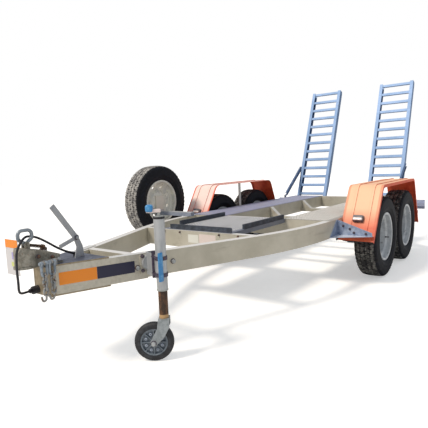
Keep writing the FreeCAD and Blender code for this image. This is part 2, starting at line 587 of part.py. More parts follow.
def leaf_spring(centre):
    """Stacked curved leaves under the axle, the master leaf with a rolled eye at each end."""
    seat = S.tyreRadius - S.axleBeam / 2 - gap
    radius = (S.springHalf ** 2 + S.springSag ** 2) / (2 * S.springSag)
    middle = Vec(0, centre, seat + radius)
    side = S.springCentre - S.springWidth / 2
    leaves = []
    for i in range(int(S.leafCount)):
        half = S.springHalf - i * S.leafStep
        low, high = radius + (i + 1) * S.leafThickness, radius + i * S.leafThickness
        spread = math.asin(half / radius)
        a, b, m = (Vec(0, math.sin(t), -math.cos(t)) for t in (-spread, spread, 0))
        face = Part.Face(Part.Wire([
            Part.Arc(middle + a * high, middle + m * high, middle + b * high).toShape(),
            Part.LineSegment(middle + b * high, middle + b * low).toShape(),
            Part.Arc(middle + b * low, middle + m * low, middle + a * low).toShape(),
            Part.LineSegment(middle + a * low, middle + a * high).toShape()]))
        leaves.append(face.extrude(ACROSS * S.springWidth).translated(ACROSS * side))
    pack = leaves[0].multiFuse(leaves[1:]).removeSplitter()
    for way in (-1, 1):
        eye = eye_centre(centre, way)
        start = Vec(side, eye.y, eye.z)
        pack = pack.fuse(Part.makeCylinder(S.eyeRadius, S.springWidth, start, ACROSS))
        pack = pack.cut(Part.makeCylinder(S.eyePin + gap, S.springWidth, start, ACROSS))
    return pack.removeSplitter()


def eye_centre(centre, way):
    seat, offset = S.tyreRadius - S.axleBeam / 2 - gap, S.eyeRadius * 0.6
    return Vec(S.springCentre, centre + way * (S.springHalf + offset), seat + S.springSag + offset)


springs = [shape(f"spring{i}", leaf_spring(y)) for i, y in enumerate((-S.axleSpacing / 2, S.axleSpacing / 2))]
node("leaf_springs", *springs, *[mirror(f"springRight{i}", s) for i, s in enumerate(springs)])


def plate_pair(y, width, foot, thick, gapWidth):
    """Folded hanger: two cheeks each side of the spring from a plate under the rail."""
    top = railFoot - gap
    cheeks = [Part.makeBox(gapWidth + 2 * thick, width, thick,
                           Vec(S.springCentre - gapWidth / 2 - thick, y - width / 2, top - thick))]
    for side in (S.springCentre - gapWidth / 2 - thick, S.springCentre + gapWidth / 2):
        corners = [Vec(side, y - width / 2, top), Vec(side, y + width / 2, top),
                   Vec(side, y + S.eyeRadius, foot), Vec(side, y - S.eyeRadius, foot),
                   Vec(side, y - width / 2, top)]
        cheeks.append(Part.Face(Part.makePolygon(corners)).extrude(ACROSS * thick))
    return cheeks


def hangers():
    span = S.springWidth + 2 * S.plateClearance
    solids = []
    for centre, way in ((-S.axleSpacing / 2, -1), (S.axleSpacing / 2, 1)):
        eye = eye_centre(centre, way)
        pair = plate_pair(eye.y, S.hangerWidth, eye.z - S.eyeRadius - 6, S.hangerPlate, span)
        pin = Part.makeCylinder(S.eyePin, span + 2 * S.hangerPlate,
                                Vec(S.springCentre - span / 2 - S.hangerPlate, eye.y, eye.z), ACROSS)
        solids.append(pin.multiFuse(pair).removeSplitter())
    eye = eye_centre(-S.axleSpacing / 2, 1)
    height = eye.z
    outer = span + 2 * S.hangerPlate + 2 * S.plateClearance
    pair = plate_pair(0, S.hangerWidth, height - S.eyeRadius - 6, S.hangerPlate, outer)
    pin = Part.makeCylinder(S.eyePin, outer + 2 * S.hangerPlate,
                            Vec(S.springCentre - outer / 2 - S.hangerPlate, 0, height), ACROSS)
    solids.append(pin.multiFuse(pair).removeSplitter())
    half, reach = S.rockerDepth / 2, abs(eye.y)
    for side in (S.springCentre - span / 2 - S.hangerPlate, S.springCentre + span / 2):
        bar = Part.makeBox(S.hangerPlate, 2 * (reach + S.eyeRadius), 2 * half,
                           Vec(side, -reach - S.eyeRadius, height - half))
        bar = bar.cut(Part.makeCylinder(S.eyePin + gap, S.hangerPlate, Vec(side, 0, height), ACROSS))
        solids.append(bar)
    for y in (-reach, reach):
        pin = Part.makeCylinder(S.eyePin, span, Vec(S.springCentre - span / 2, y, height), ACROSS)
        solids.append(pin)
    return Part.makeCompound(solids)


hangerSet = shape("hangerSet", hangers())
node("spring_hangers", hangerSet, mirror("hangerSetRight", hangerSet))


def clamps():
    """Pad over the axle beam, plate under the leaves and four bolts at each spring."""
    solids = []
    seat, pad_top = S.tyreRadius - S.axleBeam / 2 - gap, S.tyreRadius + S.axleBeam / 2 + S.clampPlate
    foot = seat - S.leafCount * S.leafThickness - gap - S.clampPlate
    edge = S.clampBolt + S.plateClearance
    half = S.springWidth / 2 + S.clampBolt + 1
    for centre in (-S.axleSpacing / 2, S.axleSpacing / 2):
        side, front, length = S.springCentre - half - edge, centre - S.clampLength / 2, 2 * (half + edge)
        low = Part.makeBox(length, S.clampLength, S.clampPlate, Vec(side, front, foot))
        high = Part.makeBox(length, S.clampLength, S.clampPlate,
                            Vec(side, front, pad_top - S.clampPlate + gap))
        whole = low.fuse(high)
        for x in (S.springCentre - half, S.springCentre + half):
            for y in (centre - S.axleBeam / 2 - edge, centre + S.axleBeam / 2 + edge):
                height = pad_top + S.backplateGap - foot
                whole = whole.fuse(Part.makeCylinder(S.clampBolt, height, Vec(x, y, foot)))
        solids.append(whole.removeSplitter())
    return Part.makeCompound(solids)


clampSet = shape("clampSet", clamps())
node("axle_clamps", clampSet, mirror("clampSetRight", clampSet))

# Mudguards, their brackets and lamps


def side_corners(points, depth):
    """A bent line in the YZ plane moved to its right by a depth, corners mitred."""
    ways = [(b - a).normalize() for a, b in zip(points, points[1:])]
    rights = [Vec(0, w.z, -w.y) for w in ways]
    moved = []
    for point, before, after in zip(points, rights[:1] + rights, rights + rights[-1:]):
        total = before + after
        moved.append(point + total * (depth / total.dot(before)))
    return moved


def strip_edges(points, bend, depth):
    """Straight runs and rounded bends of a line at a depth below it."""
    line = side_corners(points, depth)
    edges, start = [], line[0]
    for before, corner, after in zip(line, line[1:], line[2:]):
        a, b = (before - corner).normalize(), (after - corner).normalize()
        half = a.getAngle(b) / 2
        radius = bend - depth
        first, last = corner + a * (radius / math.tan(half)), corner + b * (radius / math.tan(half))
        middle = corner + (a + b).normalize() * (radius / math.sin(half) - radius)
        edges += [Part.LineSegment(start, first).toShape(), Part.Arc(first, middle, last).toShape()]
        start = last
    return edges + [Part.LineSegment(start, line[-1]).toShape()], line[0], line[-1]


def bent_strip(points, bend, near, far, low, high):
    """A bent strip between two depths, from one x to another."""
    top, a, b = strip_edges(points, bend, near)
    foot, c, d = strip_edges(points, bend, far)
    wire = Part.Wire(Part.sortEdges(top + [Part.LineSegment(b, d).toShape()] + foot +
                                    [Part.LineSegment(c, a).toShape()])[0])
    return Part.Face(wire).translated(ACROSS * low).extrude(ACROSS * (high - low))


GUARD_LINE = [Vec(0, -S.guardFrontFoot, S.guardFrontHeight), Vec(0, -S.guardFrontBend, S.guardTop),
              Vec(0, S.guardRearBend, S.guardTop), Vec(0, S.guardRearFoot, S.guardRearHeight)]
guardInner = S.deckHalf + gap


def guard():
    """Bent sheet over both wheels with two pressed ribs and a lip down each edge."""
    sheetMetal = bent_strip(GUARD_LINE, S.guardBend, 0, S.guardPlate, guardInner, S.guardOuter)
    lip = bent_strip(GUARD_LINE, S.guardBend, 0, S.guardLip, S.guardOuter - S.guardPlate, S.guardOuter)
    places = guardInner + S.ribInner, S.guardOuter - S.ribOuter - S.ribWidth
    ribs = [bent_strip(GUARD_LINE, S.guardBend, -S.ribHeight, S.guardPlate / 2, place, place + S.ribWidth)
            for place in places]
    return sheetMetal.multiFuse([lip] + ribs).removeSplitter()


guardShape = shape("guardShape", guard())
node("mudguard_left", guardShape)
node("mudguard_right", mirror("guardShapeRight", guardShape))


def guard_line_at(height, way):
    """Where the guard's outside lies along the trailer at a height."""
    foot, bend = (GUARD_LINE[0], GUARD_LINE[1]) if way < 0 else (GUARD_LINE[3], GUARD_LINE[2])
    return foot.y + (bend.y - foot.y) * (height - foot.z) / (bend.z - foot.z)


def prism(corners, way):
    """A flat outline pushed out along a direction."""
    return Part.Face(Part.makePolygon(corners + corners[:1])).extrude(way)


def guard_bracket(way, tip):
    """Folded gusset: a shelf, a cheek on the rail and a back plate, ahead of or behind the guard."""
    plate, low, out = S.bracketPlate, S.bracketHeight, S.guardOuter - S.bracketInset
    back = guard_line_at(low, way) + way * (gap + S.ribHeight * 1.25)
    near, top = back + way * S.bracketNose, S.deckHeight - plate
    shelf = prism([Vec(guardInner, tip, low), Vec(guardInner, back, low), Vec(out, back, low),
                   Vec(out, near, low)], UP * plate)
    cheek = prism([Vec(guardInner, tip, low), Vec(guardInner, near, low), Vec(guardInner, near, top),
                   Vec(guardInner, near + way * S.bracketSlope, top)], ACROSS * plate)
    web = prism([Vec(guardInner, near, low), Vec(out, near, low), Vec(out, near, low + S.bracketEdge),
                 Vec(guardInner, near, top)], ALONG * -way * plate)
    return shelf.multiFuse([cheek, web]).removeSplitter()


frontBracket = shape("frontBracket", guard_bracket(-1, -S.bracketFront))
rearBracket = shape("rearBracket", guard_bracket(1, S.guardRearFoot + S.bracketLength))
post = box("guardPost", ("deckHalf + seatGap", "-postPlace - postWidth/2", "bracketHeight"),
           ("deckHalf + seatGap + postThickness", "-postPlace + postWidth/2",
            "guardTop - guardPlate - seatGap"))
brackets = [frontBracket, rearBracket, post]
node("guard_brackets", *brackets, *[mirror(b.Name + "Right", b) for b in brackets])


def marker_lamp():
    """Small lamp standing square on the sloping front of the guard."""
    slope = (GUARD_LINE[1] - GUARD_LINE[0]).normalize()
    out = Vec(0, -slope.z, slope.y)
    foot = Vec(guardInner + S.lampSide, guard_line_at(S.lampPlace, -1), S.lampPlace) + out * gap
    face = foot + out * S.lampDepth
    corners = [foot, foot + slope * S.lampHeight, face + slope * (S.lampHeight - S.lampDraft),
               face + slope * S.lampDraft]
    return prism(corners, ACROSS * S.lampWidth)


lamp = shape("markerLamp", marker_lamp())
node("marker_lamps", lamp, mirror("markerLampRight", lamp))

# Ladder ramps, hinged behind the frame and leaning back against their stays


def ramp():
    """Channel side rails tapered to the hinge eye, with welded rungs, made upright at the pin."""
    front, back, width = -S.rampEye, S.rampDepth - S.rampEye, S.rampRail
    outline = [(front, -S.rampHeel), (front, S.rampLength), (back - S.rampNose, S.rampLength),
               (back, S.rampLength - S.rampNoseDrop), (back, S.rampTaper), (S.rampHeelReach, -S.rampHeel)]
    wall, top = S.rampWall, S.rampLength + S.rampWall
    inside = [(front + wall, S.rampFloor), (front + wall, top), (back - wall, top),
              (back - wall, S.rampTaper), (S.rampHeelReach - wall, S.rampFloor)]
    solids = []
    for way in (-1, 1):
        outer = way * S.rampWidth / 2
        rail = prism([Vec(outer, y, z) for y, z in outline], ACROSS * -way * width)
        hollow = prism([Vec(outer - way * wall, y, z) for y, z in inside], ACROSS * -way * width)
        eye = Part.makeCylinder(S.rampEye, width, Vec(min(outer, outer - way * width), 0, 0), ACROSS)
        solids.append(rail.cut(hollow).fuse(eye))
    half = S.rampWidth / 2 - wall
    for i in range(int(S.rungCount)):
        solids.append(Part.makeBox(2 * half, S.rungDepth, S.rungWidth,
                                   Vec(-half, front + S.rungSet,
                                       S.firstRung + i * S.rungPitch - S.rungWidth / 2)))
    pin = Part.makeCylinder(S.stayPin, S.stayGap + S.stayThickness + S.stayPinEnd,
                            Vec(S.rampWidth / 2, 0, S.stayAlong), ACROSS)
    bore = Part.makeCylinder(S.rampPin + S.pinGap, S.rampWidth, Vec(-S.rampWidth / 2, 0, 0), ACROSS)
    return solids[0].multiFuse(solids[1:] + [pin]).cut(bore)


hingeLine = S.frameRear + S.hingeReach
lean = FreeCAD.Rotation(ACROSS, -S.rampLean)


def on_ramp(solid):
    """From the upright ramp at its pin to its leaning place on the left."""
    return moved(solid, FreeCAD.Placement(Vec(S.rampSide, hingeLine, S.hingeHeight), lean))


leftRamp = shape("rampShape", on_ramp(ramp().removeSplitter()))
node("ramp_left", leftRamp)
node("ramp_right", mirror("rampShapeRight", leftRamp))


def hinge():
    """Lugs either side of each side rail, on one pin."""
    solids = []
    start = S.frameRear + gap
    inner, outer = S.rampSide - S.rampWidth / 2 - S.lugGap, S.rampSide + S.rampWidth / 2 + S.lugGap
    for x in (inner - S.lugPlate, outer):
        solids.append(Part.makeBox(S.lugPlate, hingeLine - start, 2 * S.rampEye,
                                   Vec(x, start, S.hingeHeight - S.rampEye)))
        solids.append(Part.makeCylinder(S.rampEye, S.lugPlate, Vec(x, hingeLine, S.hingeHeight), ACROSS))
    pin = Part.makeCylinder(S.rampPin, outer - inner + 2 * S.lugPlate,
                            Vec(inner - S.lugPlate, hingeLine, S.hingeHeight), ACROSS)
    return solids[0].multiFuse(solids[1:] + [pin]).removeSplitter()


hingeShape = shape("hingeShape", hinge())

# Stays: flat bars from a pin on the ramp to a slotted lug on the deck edge

stayPivot = Vec(0, hingeLine, S.hingeHeight) + lean.multVec(UP * S.stayAlong)
stayFoot = Vec(0, S.stayDeck, S.deckHeight + S.treadPlate + gap + S.stayLift)
stayLine = stayFoot - stayPivot
staySide = S.rampSide + S.rampWidth / 2 + S.stayGap


def stay():
    way = Vec(stayLine).normalize()
    across = Vec(0, -way.z, way.y) * (S.stayWidth / 2)
    start = Vec(staySide, stayPivot.y, stayPivot.z)
    end = start + stayLine
    bar = prism([start + across, end + across, end - across, start - across], ACROSS * S.stayThickness)
    for centre in (start, end):
        bar = bar.fuse(Part.makeCylinder(S.stayWidth / 2, S.stayThickness, centre, ACROSS))
    bar = bar.cut(Part.makeCylinder(S.stayPin + S.pinGap, S.stayThickness, start, ACROSS))
    return bar.fuse(Part.makeCylinder(S.stayPin, S.stayThickness * 2, end, ACROSS)).removeSplitter()


def stay_lug():
    """Upright plate whose slot opens the way the stay's foot swings out."""
    way = Vec(stayLine).normalize()
    out = Vec(0, way.z, -way.y)
    side = staySide + S.stayThickness + S.lugSlack
    centre = Vec(side, stayFoot.y, stayFoot.z)
    base = S.deckHeight + gap
    plate = Part.makeBox(S.deckHalf - side, 2 * S.stayWidth, stayFoot.z + S.lugCrown - base,
                         Vec(side, stayFoot.y - S.stayWidth, base))
    fit = S.stayPin + S.lugSlack
    low, high = centre - way * fit, centre + way * fit
    slot = prism([high, high + out * S.lugMouth, low + out * S.lugMouth, low], ACROSS * (S.deckHalf - side))
    return plate.cut(slot).cut(Part.makeCylinder(fit, S.deckHalf - side, centre, ACROSS))


stayShape = shape("stayShape", stay())
node("ramp_stay_left", stayShape)
node("ramp_stay_right", mirror("stayShapeRight", stayShape))
lug = shape("stayLug", stay_lug())
node("ramp_hinges", hingeShape, mirror("hingeShapeRight", hingeShape), lug, mirror("stayLugRight", lug))

# Tail lamps on arms behind the wheels

tailMiddle = "tailPlateTop - tailPlateHeight/2"
tailArm = box("tailArm", ("deckHalf + seatGap", "frameRear - tailArmDepth", tailMiddle + " - tailArmDepth/2"),
              ("tailArmOuter", "frameRear - seatGap", tailMiddle + " + tailArmDepth/2"))
tailPlate = box("tailPlate",
                ("tailArmOuter - tailPlateWidth", "frameRear - seatGap", "tailPlateTop - tailPlateHeight"),
                ("tailArmOuter", "frameRear - seatGap + tailArmThickness", "tailPlateTop"))
tailHolder = fuse("tailHolder", tailArm, tailPlate)
node("tail_lamp_arms", tailHolder, mirror("tailHolderRight", tailHolder))
tailLamp = box("tailLamp", ("tailArmOuter - tailPlateWidth + tailLampEdge", "frameRear + tailArmThickness",
                            "tailPlateTop - tailPlateHeight + tailLampEdge"),
               ("tailArmOuter - tailLampEdge", "frameRear + tailArmThickness + tailLampDepth",
                "tailPlateTop - tailLampEdge"))
node("tail_lamps", tailLamp, mirror("tailLampRight", tailLamp))

# Jockey wheel, made in the rail's own frame: x out from its face, y to the rear along it

railFoot0 = Vec(rail_face(-S.jockeyPlace), -S.jockeyPlace, 0)


def on_rail(solid):
    return moved(solid, FreeCAD.Placement(railFoot0, FreeCAD.Rotation(UP, -math.degrees(turn))))


def rail_point(out, along, height):
    return railFoot0 + railOut * out + railWay * along + UP * height


def block(low, high):
    return Part.makeBox(high[0] - low[0], high[1] - low[1], high[2] - low[2], Vec(*low))


plateInner = S.sleeveWall + 2 * gap
plateOuter = plateInner + S.swivelPlate


def jockey_clamp():
    """Bolted plate over the sleeve's end with a packer behind it and the swivel pin."""
    half, low, high = S.clampWidth / 2, S.jockeyPivot - S.clampHeight / 2, S.jockeyPivot + S.clampHeight / 2
    foot, top = railFoot + S.rebate, S.deckHeight - S.rebate
    plate = block((plateInner, -half, max(low, foot)), (plateOuter, half, min(high, top)))
    packer = block((gap, S.packerStart, foot), (plateInner, half, top))
    pin = Part.makeCylinder(S.swivelPin, S.swivelPlate + S.swivelPinReach,
                            Vec(plateOuter, 0, S.jockeyPivot), ACROSS)
    return on_rail(plate.fuse(packer).fuse(pin).removeSplitter())


def jockey_sleeve():
    """Outer tube with its swivel arm: a disc on the pin, two webs and a saddle round the tube."""
    height, foot = S.jockeyTubeTop - S.jockeyTubeFoot, Vec(S.jockeyOffset, 0, S.jockeyTubeFoot)
    tube = Part.makeCylinder(S.jockeyTube, height, foot)
    start = plateOuter + gap
    disc = Part.makeCylinder(S.swivelRadius, S.swivelDisc, Vec(start, 0, S.jockeyPivot), ACROSS)
    near = start + S.armStart
    low, high = S.jockeyPivot - S.clampHeight / 2, S.jockeyPivot + S.clampHeight / 2
    webs = [block((near, y - S.forkPlate / 2, low), (S.jockeyOffset, y + S.forkPlate / 2, high))
            for y in (-S.webSide, S.webSide)]
    face = block((near, -S.webSide, low), (near + S.armFace, S.webSide, high))
    whole = tube.multiFuse([disc, face] + webs)
    whole = whole.cut(Part.makeCylinder(S.jockeyTube - S.jockeyTubeWall, height - S.capDepth, foot))
    bore = Part.makeCylinder(S.swivelPin + S.runningGap, S.jockeyTube, Vec(start, 0, S.jockeyPivot), ACROSS)
    return on_rail(whole.cut(bore))


def jockey_inner():
    """Sliding inner tube with the stub that the fork turns on."""
    axis = Vec(S.jockeyOffset, 0, S.jockeyForkTop + gap)
    reach = S.forkPlate + S.stubReach + gap
    tube = Part.makeCylinder(S.jockeyInner, S.jockeyInnerTop - axis.z, axis)
    hollow = Part.makeCylinder(S.jockeyInner - S.innerWall, S.jockeyInnerTop, axis + UP * S.innerFloor)
    tube = tube.cut(hollow)
    return on_rail(tube.fuse(Part.makeCylinder(S.stubRadius, reach, axis - UP * reach)))


castorWay = Vec(-math.sin(math.radians(S.castorAngle)), -math.cos(math.radians(S.castorAngle)), 0)
castorAxle = Vec(castorWay.y, -castorWay.x, 0) * -1
forkPlace = FreeCAD.Placement(rail_point(S.jockeyOffset, 0, 0),
                              FreeCAD.Rotation(castorAxle, castorWay * -1, UP, "XZY"))


def on_fork(solid):
    """From the fork's own frame: x along its axle, y forward of the swivel, z up."""
    return moved(solid, forkPlace)


def jockey_fork():
    half = S.jockeyWheelWidth / 2 + S.forkSide
    top, low, trail = S.jockeyForkTop, S.jockeyWheel, -S.jockeyTrail
    side = [(S.jockeyTube, top), (-S.jockeyTube, top), (-S.jockeyTube - S.forkFlare, top - S.forkThroat),
            (trail - S.forkFootBack, low + S.forkFootRise), (trail - S.stubRadius, low - S.forkFoot),
            (trail + S.forkFootFront, low - S.forkFoot), (2, low + S.forkChin),
            (S.jockeyTube, top - S.forkHeel)]
    legs = [prism([Vec(x, y, z) for y, z in side], ACROSS * S.forkPlate) for x in (-half - S.forkPlate, half)]
    bridge = block((-half - S.forkPlate, -S.jockeyTube, top - S.forkPlate - S.stubReach),
                   (half + S.forkPlate, S.jockeyTube, top))
    end = half + S.forkPlate + S.forkAxleEnd
    axle = Part.makeCylinder(S.forkAxle, 2 * end, Vec(-end, trail, low), ACROSS)
    bore = Part.makeCylinder(S.stubRadius + S.runningGap, 2 * S.clampPlate, Vec(0, 0, top - S.clampPlate))
    return on_fork(bridge.multiFuse(legs + [axle]).cut(bore))


def jockey_roller(outer, inner, width):
    centre = Vec(-width / 2, -S.jockeyTrail, S.jockeyWheel)
    wheel = Part.makeCylinder(outer, width, centre, ACROSS)
    bevel = [e for e in wheel.Edges if e.Length > 3 * outer and len(e.Vertexes) == 1]
    if inner > S.jockeyHub:
        wheel = wheel.makeChamfer(S.jockeyWheelWidth / 4, bevel)
    return wheel.cut(Part.makeCylinder(inner, width, centre, ACROSS))


def jockey_hub():
    """Ribbed hub: rim band, web, boss and radial ribs on both faces."""
    width = S.jockeyWheelWidth - S.hubInset
    centre = Vec(0, -S.jockeyTrail, S.jockeyWheel)
    hub = jockey_roller(S.jockeyHub, S.forkAxle + S.runningGap, width)
    for way in (-1, 1):
        start = centre + ACROSS * (way * width / 2)
        hollow = Part.makeCylinder(S.jockeyHub - S.hubBand, width * 0.34, start, ACROSS * -way)
        hollow = hollow.cut(Part.makeCylinder(S.hubBoss, width, start, ACROSS * -way))
        for i in range(int(S.hubRibs)):
            rib = Part.makeBox(width, S.hubRib, S.jockeyHub, start + Vec(-width / 2, -S.hubRib / 2, 0))
            rib.rotate(centre, ACROSS, 360 / S.hubRibs * i)
            hollow = hollow.cut(rib)
        hub = hub.cut(hollow)
    return hub


jockeyTyre = on_fork(jockey_roller(S.jockeyWheel, S.jockeyHub + gap, S.jockeyWheelWidth))
node("jockey_clamp", shape("jockeyClamp", jockey_clamp()))
node("jockey_outer_tube", shape("jockeySleeve", jockey_sleeve()))
node("jockey_inner_tube", shape("jockeyInner", jockey_inner()))
node("jockey_fork", shape("jockeyFork", jockey_fork()))
node("jockey_tyre", shape("jockeyTyreShape", jockeyTyre))
node("jockey_hub", shape("jockeyHub", on_fork(jockey_hub())))


def jockey_crank():
    """Spindle, folded arm and grip on top of the outer tube."""
    start = rail_point(S.jockeyOffset, 0, S.jockeyTubeTop + gap)
    cap = Part.makeCylinder(S.jockeyTube - 3, S.crankCap, start)
    spindle = Part.makeCylinder(S.crankSpindle, S.crankHeight - S.crankDrop - start.z, start)
    arm = Part.makeBox(S.crankArm + S.crankHeel, S.crankWidth, S.crankPlate,
                       Vec(-S.crankHeel, -S.crankWidth / 2, 0))
    arm.rotate(Vec(), UP, math.degrees(math.atan2(castorWay.y, castorWay.x)))
    arm.translate(Vec(start.x, start.y, S.crankHeight - S.crankDrop - S.crankPlate))
    return cap.multiFuse([spindle, arm]).removeSplitter()


def jockey_grip():
    start = rail_point(S.jockeyOffset, 0, S.crankHeight - S.crankDrop + gap)
    grip = Part.makeCylinder(S.gripRadius, S.gripLength, start + castorWay * (S.crankArm - S.gripInset))
    return grip.makeChamfer(S.gripEdge, [e for e in grip.Edges if len(e.Vertexes) == 1])


def jockey_lever():
    """Release lever lying down the outer tube."""
    start = S.jockeyOffset + S.jockeyTube + gap
    return on_rail(block((start, -S.leverFar, S.jockeyPivot - S.leverBelow),
                         (start + S.leverThick, -S.leverNear, S.jockeyPivot + S.leverAbove)))


node("jockey_crank", shape("jockeyCrank", jockey_crank()))
node("jockey_handles", shape("jockeyGrip", jockey_grip()), shape("jockeyLever", jockey_lever()))

# Coupling, handle, sign, chains, hand brake

headSurface = headTop + S.headPlate


def coupling():
    """Cast head with an upright face over the ball, a neck and a bolted foot on the head plate."""
    ball = Vec(0, -S.couplingReach, S.couplingHeight)
    nose, rear, front = ball.y - S.headNose, -S.noseFront + S.headLength, -S.noseFront - S.headPlate
    low, seat, half = ball.z - S.skirtDepth, headSurface + gap, S.headRadius
    side = prism([Vec(-half, y, z) for y, z in (
        (nose, low), (nose, ball.z + S.headFace), (nose + S.headBrow, ball.z + S.headRise - gap),
        (ball.y - S.headCrown, ball.z + S.headRise), (ball.y + S.headSlope, ball.z + S.headFall),
        (rear, ball.z + S.neckRear), (rear, seat), (front, seat), (front, low))], ACROSS * 2 * half)
    centre, neck = Vec(0, nose + half, low), ball.y + S.neckReach
    plan = prism([Vec(x, y, low) for x, y in (
        (-half, centre.y), (half, centre.y), (half, ball.y), (S.neckHalf, neck), (S.neckHalf, rear),
        (-S.neckHalf, rear), (-S.neckHalf, neck), (-half, ball.y))], UP * 2 * S.headRise)
    body = side.common(plan.fuse(Part.makeCylinder(half, 2 * S.headRise, centre))).removeSplitter()
    flange = Part.makeCylinder(half + S.headFlange, S.skirtDepth, centre)
    foot = Part.makeBox(S.footWidth, S.footLength, S.footPlate,
                        Vec(-S.footWidth / 2, rear - S.footLength, seat))
    pinPlace = Vec(0, ball.y - S.earLead, S.earHeight)
    ears = []
    for x in (-S.earGap - S.earPlate, S.earGap):
        ears.append(Part.makeBox(S.earPlate, 2 * S.earRadius, S.earRise - S.earFoot,
                                 Vec(x, pinPlace.y - S.earRadius, ball.z + S.earFoot)))
        ears.append(Part.makeCylinder(S.earRadius, S.earPlate, Vec(x, pinPlace.y, pinPlace.z), ACROSS))
    reach = S.earGap + 2 * S.earPlate
    pin = Part.makeCylinder(S.handlePin, 2 * reach, pinPlace - ACROSS * reach, ACROSS)
    mouth = Part.makeCylinder(S.ballRadius, S.headRadius, ball - UP * S.headRadius)
    socket = Part.makeSphere(S.ballRadius, ball).fuse(mouth)
    return body.multiFuse([flange, foot, pin] + ears).cut(socket).removeSplitter()


node("coupling_head", shape("couplingHead", coupling()))


def coupling_handle():
    """Round bar bent to a loop, both ends in one boss that turns on the pin between the ears."""
    pin = Vec(0, -S.couplingReach - S.earLead, S.earHeight)
    front, back = pin.y - S.handleHalf, pin.y + S.handleHalf
    path = [pin, Vec(0, front, S.handleFoot), Vec(0, front, S.handleTop), Vec(0, back, S.handleTop),
            Vec(0, back, S.handleFoot), pin]
    knee = S.handleBend * 0.8
    bar = tube_along(path, S.handleBar, (knee, S.handleBend, S.handleBend, knee))[1]
    boss = Part.makeCylinder(S.handleBoss, 2 * S.handleBossHalf, pin - ACROSS * S.handleBossHalf, ACROSS)
    bore = Part.makeCylinder(S.handlePin + gap, 2 * S.handleBossHalf, pin - ACROSS * S.handleBossHalf, ACROSS)
    return bar.fuse(boss).cut(bore).removeSplitter()


node("coupling_handle", shape("couplingHandle", coupling_handle()))

signBar = box("signBar", ("-signSide - signBarWidth", "-signPlace + signPlate", f"{headSurface + gap}"),
              ("-signSide", "-noseFront + signBarReach", f"{headSurface + gap} + signBarPlate"))
signPanel = box("signPanel", ("-signSide - signWidth", "-signPlace", "signFoot"),
                ("-signSide", "-signPlace + signPlate", "signFoot + signHeight"))
node("front_sign", fuse("frontSign", signBar, signPanel))


def link(centre, turned_round):
    """One closed chain link standing on end, its bar and ends made of short flats."""
    half, reach = S.chainWidth / 2 - S.chainBar, S.chainLength / 2 - S.chainWidth / 2
    side, facing = (ALONG, ACROSS) if turned_round else (ACROSS, ALONG)
    flats = int(S.linkFlats)
    turns = [math.pi * i / flats for i in range(flats + 1)]
    top = [centre + UP * reach + side * (half * math.cos(t)) + UP * (half * math.sin(t)) for t in turns]
    foot = [centre - UP * reach - side * (half * math.cos(t)) - UP * (half * math.sin(t)) for t in turns]
    middle = centre + side * half
    path = Part.makePolygon([middle] + top + foot + [middle])
    turns = [2 * math.pi * i / S.barFlats for i in range(int(S.barFlats) + 1)]
    ring = Part.makePolygon([middle + (side * math.cos(t) + facing * math.sin(t)) * S.chainBar
                             for t in turns])
    return path.makePipeShell([ring], True, False, 1)


def flat_bar(points, radius, bends):
    """A bar in a plane along the trailer, its bends and its section made of short flats."""
    line, flats = [points[0]], int(S.linkFlats)
    for before, corner, after, bend in zip(points, points[1:], points[2:], bends):
        a, b = (before - corner).normalize(), (after - corner).normalize()
        half = a.getAngle(b) / 2
        centre = corner + (a + b).normalize() * (bend / math.sin(half))
        first, last = (corner + way * (bend / math.tan(half)) for way in (a, b))
        axis = (first - centre).cross(last - centre)
        for i in range(flats + 1):
            turned_by = FreeCAD.Rotation(axis, math.degrees(math.pi - 2 * half) * i / flats)
            line.append(centre + turned_by.multVec(first - centre))
    line.append(points[-1])
    up = (line[1] - line[0]).normalize().cross(ACROSS)
    turns = [2 * math.pi * i / S.barFlats for i in range(int(S.barFlats) + 1)]
    ring = Part.makePolygon([line[0] + (ACROSS * math.cos(t) + up * math.sin(t)) * radius for t in turns])
    return Part.makePolygon(line).makePipeShell([ring], True, False, 1)


# how far a link's bar stands out at the corner between two flats
barReach = S.chainBar / math.cos(math.pi / (2 * S.linkFlats))


chainX = noseHalf + S.chainSide / 2
chainTop = headSurface + S.shackleRise
chainPlaces = [-S.noseFront - S.chainLead + i * S.chainPitch for i in range(2)]


def shackle(y):
    """Bow shackle: a bent bar with two eyes and its pin."""
    foot = chainTop - S.shackleDepth
    corners = [Vec(chainX, y + across, z) for across, z in (
        (-S.shackleHalf, chainTop), (-S.shackleHalf, foot), (S.shackleHalf, foot), (S.shackleHalf, chainTop))]
    bend = S.shackleHalf * 0.95
    bow = flat_bar(corners, S.shackleBar, (bend, bend))
    half = S.shackleHalf + S.shackleEarWidth / 2
    eyes = [Part.makeCylinder(S.shackleEar, S.shackleEarWidth, Vec(chainX, y + start, chainTop), ALONG)
            for start in (-half, half - S.shackleEarWidth)]
    pin = Part.makeCylinder(S.shacklePin, 2 * half, Vec(chainX, y - half, chainTop), ALONG)
    return bow.multiFuse(eyes + [pin]).removeSplitter()


def hook(y, height):
    """Grab hook: the last link of its chain with a shank bent up to a point."""
    foot = height - S.chainLength / 2 + S.chainBar
    corners = [Vec(chainX, y + across, z) for across, z in (
        (0, foot), (0, foot - S.hookDrop), (-S.hookReach, foot - S.hookDrop),
        (-S.hookReach - S.hookFlare, foot - S.hookDrop + S.hookTip))]
    bar = flat_bar(corners, S.hookBar, (S.hookDrop * 0.5, S.hookTip * 0.4))
    return link(Vec(chainX, y, height), True).fuse(bar).removeSplitter()


